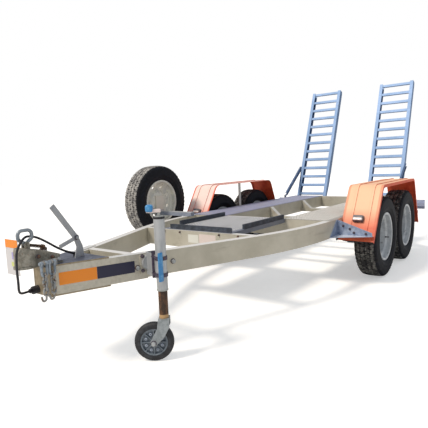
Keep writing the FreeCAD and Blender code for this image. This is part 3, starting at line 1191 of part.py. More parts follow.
def chains():
    """Two short chains, each from a bow shackle in its lug to a hook."""
    solids = []
    pitch = S.chainLength - 2 * S.chainBar - 2 * barReach - S.linkPlay
    first = chainTop - S.shackleDepth + S.shackleBar + barReach + S.linkPlay - S.chainLength / 2 + S.chainBar
    last = int(S.chainLinks) - 1
    for y in chainPlaces:
        solids += [shackle(y), hook(y, first - last * pitch)]
        solids += [link(Vec(chainX, y, first - i * pitch), i % 2 == 1) for i in range(last)]
    return Part.makeCompound(solids)


node("safety_chains", shape("chainLinks", chains()))


def chain_lug():
    """Flat bar along the nose with an eye plate for each shackle, on an arm from the head plate."""
    seat, inner = headSurface + gap, chainX - S.shackleEar - S.lugThick - 1
    front, rear = chainPlaces[0] - S.shackleHalf, -S.noseFront + S.lugRear
    bar = Part.makeBox(S.lugThick, rear - front, S.lugHeight, Vec(inner, front, seat))
    arm = Part.makeBox(inner - noseHalf + S.lugArm, S.lugArm, S.lugArm,
                       Vec(noseHalf - S.lugArm, rear - S.lugArm, seat))
    plates = []
    for y in chainPlaces:
        start, eye = y - S.lugThick / 2, Vec(chainX, y - S.lugThick / 2, chainTop)
        plate = Part.makeBox(chainX - inner, S.lugThick, 2 * S.shackleEar,
                             Vec(inner, start, chainTop - S.shackleEar))
        plate = plate.fuse(Part.makeCylinder(S.shackleEar, S.lugThick, eye, ALONG))
        plates.append(plate.cut(Part.makeCylinder(S.lugPin, S.lugThick, eye, ALONG)))
    return bar.multiFuse([arm] + plates).removeSplitter()


node("chain_lug", shape("chainLug", chain_lug()))


def brake_bracket():
    y, low, top = -S.brakePlace, headSurface + gap, S.brakePivot + S.brakeHead
    return prism([Vec(3 * S.brakeBar, along, z) for along, z in (
        (y - S.brakeFoot, low), (y + S.brakeFoot, low), (y + S.brakeKneeRear, low + S.brakeKnee),
        (y - S.brakeHeadRear, top), (y - S.brakeHeadFront, top),
        (y - S.brakeKneeFront, low + S.brakeThroat))], ACROSS * S.brakeBar)


def brake_lever():
    side = S.brakeBar * 4 + gap
    pivot = Vec(side, -S.brakePlace - S.brakeOffset, S.brakePivot)
    whole = Part.makeCylinder(S.brakeWidth * 0.6, S.brakeBar, pivot, ACROSS)
    for reach, half in ((Vec(0, -S.leverReach, S.leverRise), S.brakeWidth / 2),
                        (Vec(0, -S.linkReach, -S.linkDrop), S.brakeWidth / 3)):
        way = Vec(reach).normalize()
        across = Vec(0, -way.z, way.y) * half
        whole = whole.fuse(prism([pivot + across, pivot + reach + across, pivot + reach - across,
                                  pivot - across], ACROSS * S.brakeBar))
    start = pivot - ACROSS * (S.brakeBar + gap + S.brakePinEnd)
    pin = Part.makeCylinder(S.brakeBar * 0.75, 2 * (S.brakeBar + S.brakePinEnd) + gap, start, ACROSS)
    return whole, pin


lever, brakePin = brake_lever()
node("handbrake", shape("brakeBracket", brake_bracket().cut(brakePin)),
     shape("brakeLever", lever.fuse(brakePin).removeSplitter()))

# Trailer cable from its gland on the nose, through the handle, to the parked plug

noseDeck = Vec(0, -S.noseFront, S.deckHeight)
CABLE = [noseDeck + Vec(*p) for p in (
    (-14, 213, 29), (-16, 165, 48), (-18, 109, 81), (-22, 55, 121), (-26, 7, 152), (-25, -35, 165),
    (2, -75, 169), (28, -113, 151), (30, -138, 113), (30, -144, 65), (28, -145, 5), (22, -140, -55),
    (2, -131, -97), (-24, -108, -118), (-42, -80, -125), (-47, -47, -125))]


def cable():
    bends = []
    for a, b, c in zip(CABLE, CABLE[1:], CABLE[2:]):
        half = (a - b).getAngle(c - b) / 2
        shorter = min((a - b).Length, (c - b).Length)
        bends.append(0.45 * shorter * math.tan(half))
    print("cable radii", [round(b) for b in bends])
    length, solid = tube_along(CABLE, S.cableRadius, bends)
    print(f"cable length {length:.0f}, volume {solid.Volume:.0f}, "
          f"section times length {math.pi * S.cableRadius ** 2 * length:.0f}")
    return solid


node("trailer_cable", shape("cableTube", cable()))
glandWay = (CABLE[1] - CABLE[0]).normalize()
gland = Part.makeCylinder(S.cableRadius + S.glandWall, S.glandLength, CABLE[0] - glandWay * S.glandLength,
                          glandWay)
glandSeat = Vec(CABLE[0].x - S.glandFootWidth / 2, CABLE[0].y + S.glandFootInset, headSurface + gap)
glandFoot = Part.makeBox(S.glandFootWidth, S.glandFootLength, CABLE[0].z - S.glandFootDrop - glandSeat.z,
                         glandSeat)
node("cable_gland", shape("cableGland", gland.fuse(glandFoot).removeSplitter()))
plugWay = (CABLE[-1] - CABLE[-2]).normalize()
plugEnd = CABLE[-1]
plug = Part.makeCylinder(S.plugRadius * 0.6, S.plugNeck, plugEnd, plugWay).fuse(
    Part.makeCylinder(S.plugRadius, -S.noseFront - plugEnd.y - gap - S.plugNeck,
                      plugEnd + ALONG * S.plugNeck, ALONG))
node("cable_plug", shape("cablePlug", plug))

# Check and export

doc.recompute()
faults = [o.Name for o in doc.Objects if {"Invalid", "Error"} & set(o.State)]
faults += [n.Label for n in NODES if n.Shape.isNull() or not n.Shape.isValid() or not n.Shape.Solids]
if faults:
    raise SystemExit("faulty objects: " + ", ".join(faults))
os.makedirs("parts", exist_ok=True)
for piece in NODES:
    piece.Shape.exportStep(f"parts/{piece.Label}.step")
print(f"{len(NODES)} pieces written")
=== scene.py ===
import json
import math
import bpy
from mathutils import Matrix, Vector


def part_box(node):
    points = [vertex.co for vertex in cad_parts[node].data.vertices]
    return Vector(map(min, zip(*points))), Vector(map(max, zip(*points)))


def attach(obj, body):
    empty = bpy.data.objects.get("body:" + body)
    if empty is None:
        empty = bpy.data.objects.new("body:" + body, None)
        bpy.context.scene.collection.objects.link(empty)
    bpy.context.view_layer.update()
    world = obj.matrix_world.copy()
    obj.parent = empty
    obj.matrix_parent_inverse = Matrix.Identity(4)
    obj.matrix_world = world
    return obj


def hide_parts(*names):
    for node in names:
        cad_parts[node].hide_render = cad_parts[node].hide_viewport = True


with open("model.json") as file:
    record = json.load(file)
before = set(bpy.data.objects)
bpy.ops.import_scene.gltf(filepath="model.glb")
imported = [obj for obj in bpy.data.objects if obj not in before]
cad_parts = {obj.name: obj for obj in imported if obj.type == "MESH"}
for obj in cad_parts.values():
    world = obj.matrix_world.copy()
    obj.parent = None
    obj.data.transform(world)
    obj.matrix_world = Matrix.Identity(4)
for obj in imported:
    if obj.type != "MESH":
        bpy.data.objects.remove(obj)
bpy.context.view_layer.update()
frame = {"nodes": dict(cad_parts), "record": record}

nodes = frame["nodes"]
# the ball's centre on the ground plan, and the wheels, in millimetres
trailer = {"reach": 3235, "height": 600, "wheelOut": 905, "wheelRun": 387.5, "wheelRadius": 365}
sides = ((1, "left"), (-1, "right"))
wheels = [(f"{end}_{side}", way, run) for end, run in (("front", -1), ("rear", 1)) for way, side in sides]


def spot(x, y, z):
    # ground plan (x from the centreline, y from midway between the axles, z up) to metres at the ball
    return Vector((x / 1000, (y + trailer["reach"]) / 1000, (z - trailer["height"]) / 1000))


# modelling helpers: sizes in millimetres, places in metres

def alone(piece=None):
    if bpy.context.object and bpy.context.object.mode == "EDIT":
        closeEdit()
    bpy.ops.object.select_all(action="DESELECT")
    if piece:
        piece.select_set(True)
        bpy.context.view_layer.objects.active = piece
    return piece


def openEdit(piece, everything=True):
    alone(piece)
    bpy.ops.object.mode_set(mode="EDIT")
    bpy.ops.mesh.select_all(action="SELECT" if everything else "DESELECT")


def closeEdit():
    bpy.ops.object.mode_set(mode="OBJECT")


def settle(piece):
    alone(piece)
    bpy.ops.object.transform_apply(location=True, rotation=True, scale=True)
    return piece


def choose(piece, kind, test):
    # picks faces by their middle and their way, or edges by their two ends, and leaves edit mode open
    openEdit(piece, False)
    bpy.ops.mesh.select_mode(type=kind)
    closeEdit()
    points = piece.data.vertices
    if kind == "FACE":
        for face in piece.data.polygons:
            face.select = test(face.center, face.normal)
    else:
        for edge in piece.data.edges:
            edge.select = test(*(points[i].co for i in edge.vertices))
    bpy.ops.object.mode_set(mode="EDIT")


def withModifier(piece, kind, **settings):
    alone(piece)
    modifier = piece.modifiers.new(kind.title(), kind)
    for key, value in settings.items():
        setattr(modifier, key, value)
    bpy.ops.object.modifier_apply(modifier=modifier.name)
    return piece


def softEdges(piece, width, segments=2):
    return withModifier(piece, "BEVEL", width=width / 1000, segments=segments, limit_method="ANGLE",
                        angle_limit=math.radians(40))


def block(size, place=(0, 0, 0), turn=(0, 0, 0), edge=0, segments=2):
    alone()
    bpy.ops.mesh.primitive_cube_add(size=1, location=place, rotation=turn, scale=[v / 1000 for v in size])
    piece = settle(bpy.context.object)
    return softEdges(piece, edge, segments) if edge else piece


def rod(radius, length, place, way=(0, 0, 1), edge=0, corners=24):
    alone()
    turn = Vector(way).to_track_quat("Z", "Y").to_euler()
    bpy.ops.mesh.primitive_cylinder_add(vertices=corners, radius=radius / 1000, depth=length / 1000,
                                        location=place, rotation=turn)
    piece = settle(bpy.context.object)
    return softEdges(piece, edge) if edge else piece


def chamfered(piece, axis, inset, lift):
    # draws in the face that looks along an axis, and lifts it
    choose(piece, "FACE", lambda centre, normal: normal[axis] > 0.9)
    bpy.ops.mesh.inset(thickness=inset / 1000)
    offset = [0, 0, 0]
    offset[axis] = lift / 1000
    bpy.ops.transform.translate(value=offset)
    closeEdit()
    return piece


def outline(points):
    # a line of edges drawn by extruding one vertex from point to point
    alone()
    bpy.ops.mesh.primitive_plane_add(size=0.001, location=points[0])
    piece = settle(bpy.context.object)
    openEdit(piece)
    bpy.ops.mesh.select_mode(type="VERT")
    bpy.ops.mesh.merge(type="CENTER")
    for before, after in zip(points, points[1:]):
        bpy.ops.mesh.extrude_region_move(TRANSFORM_OT_translate={"value": after - before})
    return piece


def mergeDoubles():
    bpy.ops.mesh.select_all(action="SELECT")
    bpy.ops.mesh.remove_doubles(threshold=0.00001)
    bpy.ops.mesh.select_all(action="SELECT")


def lathe(profile, steps, close=True):
    # a profile of (radius, x) pairs turned about the x axis
    points = [Vector((x / 1000, 0, radius / 1000)) for radius, x in profile]
    piece = outline(points + points[:1] if close else points)
    mergeDoubles()
    bpy.ops.mesh.spin(steps=steps, angle=math.tau, center=(0, 0, 0), axis=(1, 0, 0))
    mergeDoubles()
    bpy.ops.mesh.normals_make_consistent(inside=False)
    closeEdit()
    return piece


def aroundAxis(piece, count):
    # copies of the whole mesh evenly round the x axis
    openEdit(piece)
    bpy.ops.mesh.spin(steps=count - 1, dupli=True, angle=math.tau * (count - 1) / count, center=(0, 0, 0),
                      axis=(1, 0, 0))
    closeEdit()
    return piece


def facedOut(piece):
    openEdit(piece)
    bpy.ops.mesh.normals_make_consistent(inside=False)
    closeEdit()
    return piece


def tubeLine(name, points, radius, steps, rings):
    # a round bar on a smooth line, left as a curve
    data = bpy.data.curves.new(name, "CURVE")
    data.dimensions = "3D"
    line = data.splines.new("NURBS")
    line.points.add(len(points) - 1)
    for point, place in zip(line.points, points):
        point.co = (*place, 1)
    line.order_u = 3
    line.use_endpoint_u = True
    line.resolution_u = steps
    data.bevel_depth = radius / 1000
    data.bevel_resolution = rings
    data.use_fill_caps = True
    piece = bpy.data.objects.new(name, data)
    bpy.context.collection.objects.link(piece)
    return piece


def bentBar(points, radius):
    alone(tubeLine("bar", points, radius, 8, 5))
    bpy.ops.object.convert(target="MESH")
    return facedOut(bpy.context.object)


def joined(pieces, name):
    alone()
    for piece in pieces:
        piece.select_set(True)
    bpy.context.view_layer.objects.active = pieces[0]
    if len(pieces) > 1:
        bpy.ops.object.join()
    piece = bpy.context.object
    piece.name = piece.data.name = name
    return settle(piece)


def placed(piece, turn=None, place=(0, 0, 0)):
    # turns a piece made at the origin and puts it in its place
    piece.matrix_world = Matrix.Translation(place) @ (turn.to_4x4() if turn else Matrix.Identity(4))
    return settle(piece)


def copyOf(piece, name, turn=None, place=(0, 0, 0)):
    copy = piece.copy()
    copy.data = piece.data.copy()
    bpy.context.collection.objects.link(copy)
    copy.name = copy.data.name = name
    return placed(copy, turn, place)


def mirrored(piece, name):
    # the far side's copy, with its faces turned the right way out again
    copy = copyOf(piece, name)
    copy.scale = (-1, 1, 1)
    return facedOut(settle(copy))


def turned(degrees, axis="Z"):
    return Matrix.Rotation(math.radians(degrees), 3, axis)


def dressed(piece, finish):
    piece.data.materials.clear()
    piece.data.materials.append(finishes[finish])
    return piece


def finished(piece, body, finish=None, smooth=35, replaced=()):
    alone(piece)
    if smooth:
        bpy.ops.object.shade_smooth_by_angle(angle=math.radians(smooth))
    if finish:
        dressed(piece, finish)
    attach(piece, body)
    if replaced:
        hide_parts(*replaced)
    return piece


# camera and light

photoCamera = {"place": (2.029, -1.129, 0.467), "turn": 36.783, "dip": 6.585, "roll": -2.203, "lens": 35.93,
               "sensor": 36, "near": 0.05, "far": 200}
light = {"sunStrength": 2.6, "sunWay": (0.42, 0.95, -1.25), "sunSize": 12, "sunColour": "#fff4e6",
         "skyStrength": 0.62, "skyColour": "#e9eef6",
         "floorColour": "#e4e3e0", "floorGlow": 0.42, "floorSize": 60, "floorMiddle": 2.5}


def linear(code):
    # an sRGB hex colour turned to linear light
    parts = [int(code[i:i + 2], 16) / 255 for i in (1, 3, 5)]
    return tuple(p / 12.92 if p <= 0.04045 else ((p + 0.055) / 1.055) ** 2.4 for p in parts) + (1.0,)


def addNode(tree, kind, settings=None, links=None):
    node = tree.nodes.new("ShaderNode" + kind)
    for key, value in (settings or {}).items():
        if isinstance(key, int) or key in node.inputs:
            node.inputs[key].default_value = value
        else:
            setattr(node, key, value)
    for key, output in (links or {}).items():
        tree.links.new(output, node.inputs[key])
    return node


def newMaterial(name):
    material = bpy.data.materials.new(name)
    material.use_nodes = True
    material.node_tree.nodes.clear()
    return material, material.node_tree


def setUpCamera():
    bpy.ops.object.camera_add(location=photoCamera["place"])
    camera = bpy.context.object
    turn = turned(photoCamera["turn"]) @ turned(90 - photoCamera["dip"], "X") @ turned(photoCamera["roll"])
    camera.rotation_euler = turn.to_euler()
    camera.data.lens = photoCamera["lens"]
    camera.data.sensor_width = photoCamera["sensor"]
    camera.data.clip_start = photoCamera["near"]
    camera.data.clip_end = photoCamera["far"]
    bpy.context.scene.camera = camera


def seenAs(tree, lighting, shown):
    # one shader for the light and another for what the camera sees
    ray = addNode(tree, "LightPath").outputs["Is Camera Ray"]
    return addNode(tree, "MixShader", links={0: ray, 1: lighting.outputs[0], 2: shown.outputs[0]}).outputs[0]


def setUpLight():
    scene = bpy.context.scene
    scene.view_settings.view_transform = "Standard"
    bpy.ops.object.light_add(type="SUN", location=(0, 0, 6))
    sun = bpy.context.object
    sun.rotation_euler = Vector(light["sunWay"]).to_track_quat("-Z", "Y").to_euler()
    sun.data.energy = light["sunStrength"]
    sun.data.angle = math.radians(light["sunSize"])
    sun.data.color = linear(light["sunColour"])[:3]
    world = bpy.data.worlds.new("studio_sky")
    scene.world = world
    world.use_nodes = True
    tree = world.node_tree
    tree.nodes.clear()
    sky = addNode(tree, "Background", {"Color": linear(light["skyColour"]), "Strength": light["skyStrength"]})
    white = addNode(tree, "Background", {"Color": (1, 1, 1, 1), "Strength": 1.0})
    addNode(tree, "OutputWorld", links={"Surface": seenAs(tree, sky, white)})


def setUpFloor():
    alone()
    place = (0, light["floorMiddle"], -trailer["height"] / 1000)
    bpy.ops.mesh.primitive_plane_add(size=light["floorSize"], location=place)
    floor = settle(bpy.context.object)
    floor.name = "studio_floor"
    material, tree = newMaterial("floor_paper")
    paper = addNode(tree, "BsdfDiffuse", {"Color": linear(light["floorColour"])})
    glow = addNode(tree, "Emission", {"Color": (1, 1, 1, 1), "Strength": light["floorGlow"]})
    both = addNode(tree, "AddShader", links={0: paper.outputs[0], 1: glow.outputs[0]})
    addNode(tree, "OutputMaterial", links={"Surface": seenAs(tree, paper, both)})
    floor.data.materials.append(material)


# the trailer cable comes first, on the route that the part's source gives

cable = {"radius": 6, "exit": (-14, -2952, 604), "length": 0.745, "steps": 12, "rings": 6, "route": (
    (-14, -2952, 604), (-16, -3000, 623), (-18, -3056, 656), (-22, -3110, 696), (-26, -3158, 727),
    (-25, -3200, 740), (2, -3240, 744), (28, -3278, 726), (30, -3303, 688), (30, -3309, 640),
    (28, -3310, 580), (22, -3305, 520), (2, -3296, 478), (-24, -3273, 457), (-42, -3245, 450),
    (-47, -3212, 450))}


def makeCable():
    route = [spot(*place) for place in cable["route"]]
    piece = tubeLine("trailer_cable_line", route, cable["radius"], cable["steps"], cable["rings"])
    piece.name = "trailer_cable_sheath"
    dressed(piece, "cable_sheath")
    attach(piece, "chassis")
    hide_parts("trailer_cable")


# finishes: their patterns lie on object coordinates, with sizes in millimetres

def pattern(tree, kind, size, **settings):
    # a texture whose features are this far apart, all round or along x, y and z
    sizes = size if isinstance(size, tuple) else (size,) * 3
    place = addNode(tree, "TexCoord").outputs["Object"]
    place = addNode(tree, "Mapping", {"Scale": [1000 / step for step in sizes]}, {"Vector": place}).outputs[0]
    return addNode(tree, kind, {"Scale": 1.0, **settings}, {"Vector": place})


def sample(tree, kind, size=0, detail=5, rough=0.6):
    # what a mask, a bump or a roughness goes by
    if kind == "noise":
        return pattern(tree, "TexNoise", size, Detail=detail, Roughness=rough).outputs[0]
    if kind == "ribs":
        return pattern(tree, "TexWave", size, bands_direction="X").outputs["Fac"]
    if kind == "cells":    # here the detail picks one of a cell's random numbers
        start, part = pattern(tree, "TexVoronoi", size, Randomness=1.0).outputs["Color"], detail
    elif kind == "up":
        start, part = addNode(tree, "NewGeometry").outputs["Normal"], 2
    else:
        start, part = addNode(tree, "TexCoord").outputs["Object"], "xyz".index(kind)
    return addNode(tree, "SeparateXYZ", links={0: start}).outputs[part]


def mask(tree, kind, low, high, amount=1.0, *rest):
    # rises to the amount between two values of a texture, of the slope, or of a place on the ground plan
    start = {"x": 0, "z": -trailer["height"]}.get(kind)
    if start is not None:
        low, high = (low + start) / 1000, (high + start) / 1000
    ease = "LINEAR" if kind == "cells" else "SMOOTHSTEP"
    return addNode(tree, "MapRange", {1: low, 2: high, 4: amount, "interpolation_type": ease},
                   {0: sample(tree, kind, *rest)}).outputs[0]


def painted(tree, colour, layers):
    # lays each colour over the ones before it where its mask is white
    for factor, over in layers:
        node = addNode(tree, "Mix", {"data_type": "RGBA"}, {"Factor": factor})
        for socket, value in ((node.inputs[6], colour), (node.inputs[7], over)):
            if isinstance(value, str):
                socket.default_value = linear(value)
            else:
                tree.links.new(value, socket)
        colour = node.outputs[2]
    return colour


def surface(material, tree, colour, roughness, bump, settings):
    # the bump is a texture's output, its strength and its depth in metres
    shader = addNode(tree, "BsdfPrincipled", settings)
    for socket, value in (("Base Color", colour), ("Roughness", roughness)):
        if isinstance(value, float):
            shader.inputs[socket].default_value = value
        elif isinstance(value, str):
            shader.inputs[socket].default_value = linear(value)
        else:
            tree.links.new(value, shader.inputs[socket])
    if bump:
        lift = addNode(tree, "Bump", {"Strength": bump[1], "Distance": bump[2]}, {"Height": bump[0]})
        tree.links.new(lift.outputs[0], shader.inputs["Normal"])
    addNode(tree, "OutputMaterial", links={"Surface": shader.outputs[0]})
    return material


# what each kind of material is made of: its masks, its roughness, the texture and bump of its grain, and the
# shader's settings. A mask gives the number of its colour, the two values it rises between (None where the
# finish says where it starts, and then by how much), its amount, and its noise's size, detail and roughness
kinds = {
    # extruded 6061, mill finish: faint lines along the die, dulled by road film; the rail and ramp finishes
    # lay a painted highlight over their tops where the sun falls
    "mill": {"masks": ((1, 0.36, 0.68, 1, 310), (2, 0.55, 0.8, 0.7, (120, 700, 60), 5, 0.66),
                       (2, 0.68, 0.76, 0.3, 7, 3, 0.7)),
             "rough": (0.38, 0.56), "grain": ("noise", (6, 260, 6), 2), "bump": (0.12, 0.0006),
             "Metallic": 0.35},
    # hot-dip zinc gone dull: spangle a few millimetres across, drawn at 12 mm to show, with a pale bloom
    "galvanised": {"spangle": 12, "masks": ((2, 0.46, 0.7, 1, 90),), "rough": (0.36, 0.56),
                   "grain": ("noise", 14, 3), "bump": (0.12, 0.0008), "Metallic": 0.4},
    # worn zinc over steel, with rust blooming from the edges and joints
    "rusted": {"masks": ((1, 0.4, 0.64, 1, 24), (2, None, 0.14, 1, 17, 6, 0.72)), "rough": 0.52,
               "grain": ("noise", 3, 4, 0.7), "bump": (0.25, 0.0005), "Metallic": 0.3},
    # bright zinc on the jockey tube, crank and bolts, smooth and greyed by handling
    "zinc": {"masks": ((1, 0.42, 0.66, 1, (60, 60, 180)), (2, 0.68, 0.76, 1, 6, 2)), "rough": 0.42,
             "grain": ("noise", 3, 2), "bump": (0.06, 0.0004), "Metallic": 0.4},
    # bare steel under old grease: dark brown, with orange rust where it wears
    "greased": {"masks": ((1, 0.42, 0.62, 1, (30, 30, 70), 6, 0.7), (2, 0.6, 0.75, 1, 4, 4, 0.7)),
                "rough": 0.55, "grain": ("noise", 4, 4, 0.7), "bump": (0.35, 0.0006), "Metallic": 0.2},
    # sprayed wheel enamel with brake dust and road dirt in patches
    "enamel": {"masks": ((1, 0.4, 0.65, 1, 80, 4), (2, 0.55, 0.72, 1, 34, 6, 0.72)), "rough": 0.42,
               "grain": ("noise", 5, 3), "bump": (0.08, 0.0004)},
    # black compound: bluish on the walls, dusty grey on the faces of the tread blocks
    "tyre": {"masks": ((1, None, 0.3, 1, 45, 6, 0.7),), "rough": 0.7,
             "grain": ("noise", 2.5, 3), "bump": (0.25, 0.0005), "Specular IOR Level": 0.3},
    # five-bar plate with dirt trodden into it
    "plate": {"masks": ((2, 0.5, 0.74, 0.6, (90, 300, 90), 5, 0.66), (2, 0.6, 0.7, 0.5, 9, 4, 0.72)),
              "rough": 0.46, "grain": ("noise", (40, 60, 40), 2), "bump": (0.12, 0.0006), "Metallic": 0.3},
    # black moulded rubber, dull, with a grey bloom in patches
    "rubber": {"masks": ((1, 0.4, 0.7, 1, 30),), "rough": 0.62,
               "grain": ("noise", 3, 3), "bump": (0.2, 0.0004)},
    # injection moulding with a fine grain, a little paler where hands rub it
    "plastic": {"masks": ((1, 0.45, 0.7, 1, 25, 4),), "rough": 0.38,
                "grain": ("noise", 1.5, 2), "bump": (0.06, 0.0002)},
    # rough casting with scale in its hollows and rust along its edges
    "cast": {"masks": ((1, 0.38, 0.66, 1, 28), (2, 0.56, 0.7, 1, 16, 6, 0.7)), "rough": 0.6,
             "grain": ("noise", 7, 5, 0.65), "bump": (0.4, 0.001), "Metallic": 0.35},
    # black chassis paint on the leaves, flat, with dried mud in patches
    "chassisPaint": {"masks": ((1, 0.5, 0.72, 1, 40, 6, 0.7),), "rough": 0.6,
                     "grain": ("noise", 6, 4), "bump": (0.25, 0.0006)},
    # acrylic lens with fine upright ribs under a clear face
    "lens": {"masks": (), "rough": 0.18, "grain": ("ribs", 25), "bump": (0.35, 0.0008), "Coat Weight": 0.6},
    # self-adhesive vinyl, flat and slightly scuffed
    "vinyl": {"masks": ((1, 0.58, 0.74, 1, 40, 6, 0.7),), "rough": 0.4},
}
spangleAmount = 0.75
# the plate goes from painted shade on the far side to painted sunlight on the near side
plateShadeEdges = (-330, -280)    # between these places across the trailer the plate's colour changes


def made(kind, name, colours, over=(), start=0.5, **own):
    # the masks lay their colours over the first one, and a finish can lay more of them over all
    recipe = {**kinds[kind], **own}
    parts = ("masks", "rough", "grain", "bump", "spangle")
    masks, rough, grain, bump, spangle = (recipe.pop(key, None) for key in parts)
    material, tree = newMaterial(name)
    colours = colours.split()
    layers = []
    if spangle:
        layers.append((mask(tree, "cells", 0, 1, spangleAmount, spangle, 0), colours[1]))
    if kind == "plate":    # lavender on the far side, painted shade under the far ramp; paler on the side near the camera, painted sunlight
        layers.append((mask(tree, "x", *plateShadeEdges), colours[1]))
    for number, low, high, *rest in masks:
        if low is None:
            low, high = start, start + high
        layers.append((mask(tree, "noise", low, high, *rest), colours[number]))
    layers += [(mask(tree, *where), colour) for colour, *where in over]
    texture = sample(tree, *grain) if grain else None
    if isinstance(rough, tuple):
        by = sample(tree, "cells", spangle, 1) if spangle else texture
        rough = addNode(tree, "MapRange", {3: rough[0], 4: rough[1]}, {0: by}).outputs[0]
    lift = (texture, *bump) if grain else None
    return surface(material, tree, painted(tree, colours[0], layers), rough, lift, recipe)


guard = {"middle": 0.8746, "edge": (0.138, 0.122), "sun": (0.0, -0.66, 0.75), "nearEdge": 0.55,
         "sides": (-100, 100)}


def guardEnamel():
    # orange-red alkyd enamel on sheet, chalked and painted peach where it faces the sun as painted sunlight,
    # less towards its foot, still red down its edges
    material, tree = newMaterial("orange_red_enamel")
    smooth = {"interpolation_type": "SMOOTHSTEP"}
    normal = addNode(tree, "NewGeometry").outputs["Normal"]
    sunward = addNode(tree, "VectorMath", {"operation": "DOT_PRODUCT", 1: guard["sun"]}, {0: normal})
    # painted sunlight with some chalking: peach on the faces turned to the sun
    chalkAndSunlight = addNode(tree, "MapRange", {1: 0.3, 2: 0.8, **smooth}, {0: sunward.outputs["Value"]}).outputs[0]
    patchy = addNode(tree, "MapRange", {3: 0.8, 4: 1.0}, {0: sample(tree, "noise", 190)}).outputs[0]
    side = addNode(tree, "Math", {"operation": "ABSOLUTE"}, {0: sample(tree, "x")}).outputs[0]
    off = addNode(tree, "Math", {"operation": "SUBTRACT", 1: guard["middle"]}, {0: side}).outputs[0]
    off = addNode(tree, "Math", {"operation": "ABSOLUTE"}, {0: off}).outputs[0]
    inner, outer = guard["edge"]
    edge = addNode(tree, "MapRange", {1: inner, 2: outer, **smooth}, {0: off}).outputs[0]
    near = mask(tree, "x", *guard["sides"], guard["nearEdge"])
    edge = addNode(tree, "Math", {"operation": "MAXIMUM"}, {0: edge, 1: near}).outputs[0]
    low = addNode(tree, "MapRange", {1: -0.10, 2: 0.05, 3: 0.12, 4: 1.0}, {0: sample(tree, "z")}).outputs[0]
    for factor in (patchy, edge, low):
        chalkAndSunlight = addNode(tree, "Math", {"operation": "MULTIPLY"}, {0: chalkAndSunlight, 1: factor}).outputs[0]
    peach = painted(tree, "#f4e2d9", [(mask(tree, "x", *guard["sides"]), "#f3c7a1")])
    colour = painted(tree, "#dc5a35", [(mask(tree, "noise", 0.4, 0.7, 1, 90, 4), "#c64324"), (chalkAndSunlight, peach),
                                       (mask(tree, "noise", 0.7, 0.76, 1, 22, 5, 0.75), "#9c4632")])
    rough = addNode(tree, "MapRange", {3: 0.56, 4: 0.64}, {0: chalkAndSunlight}).outputs[0]
    return surface(material, tree, colour, rough, (sample(tree, "noise", 12, 3), 0.08, 0.0006), {})


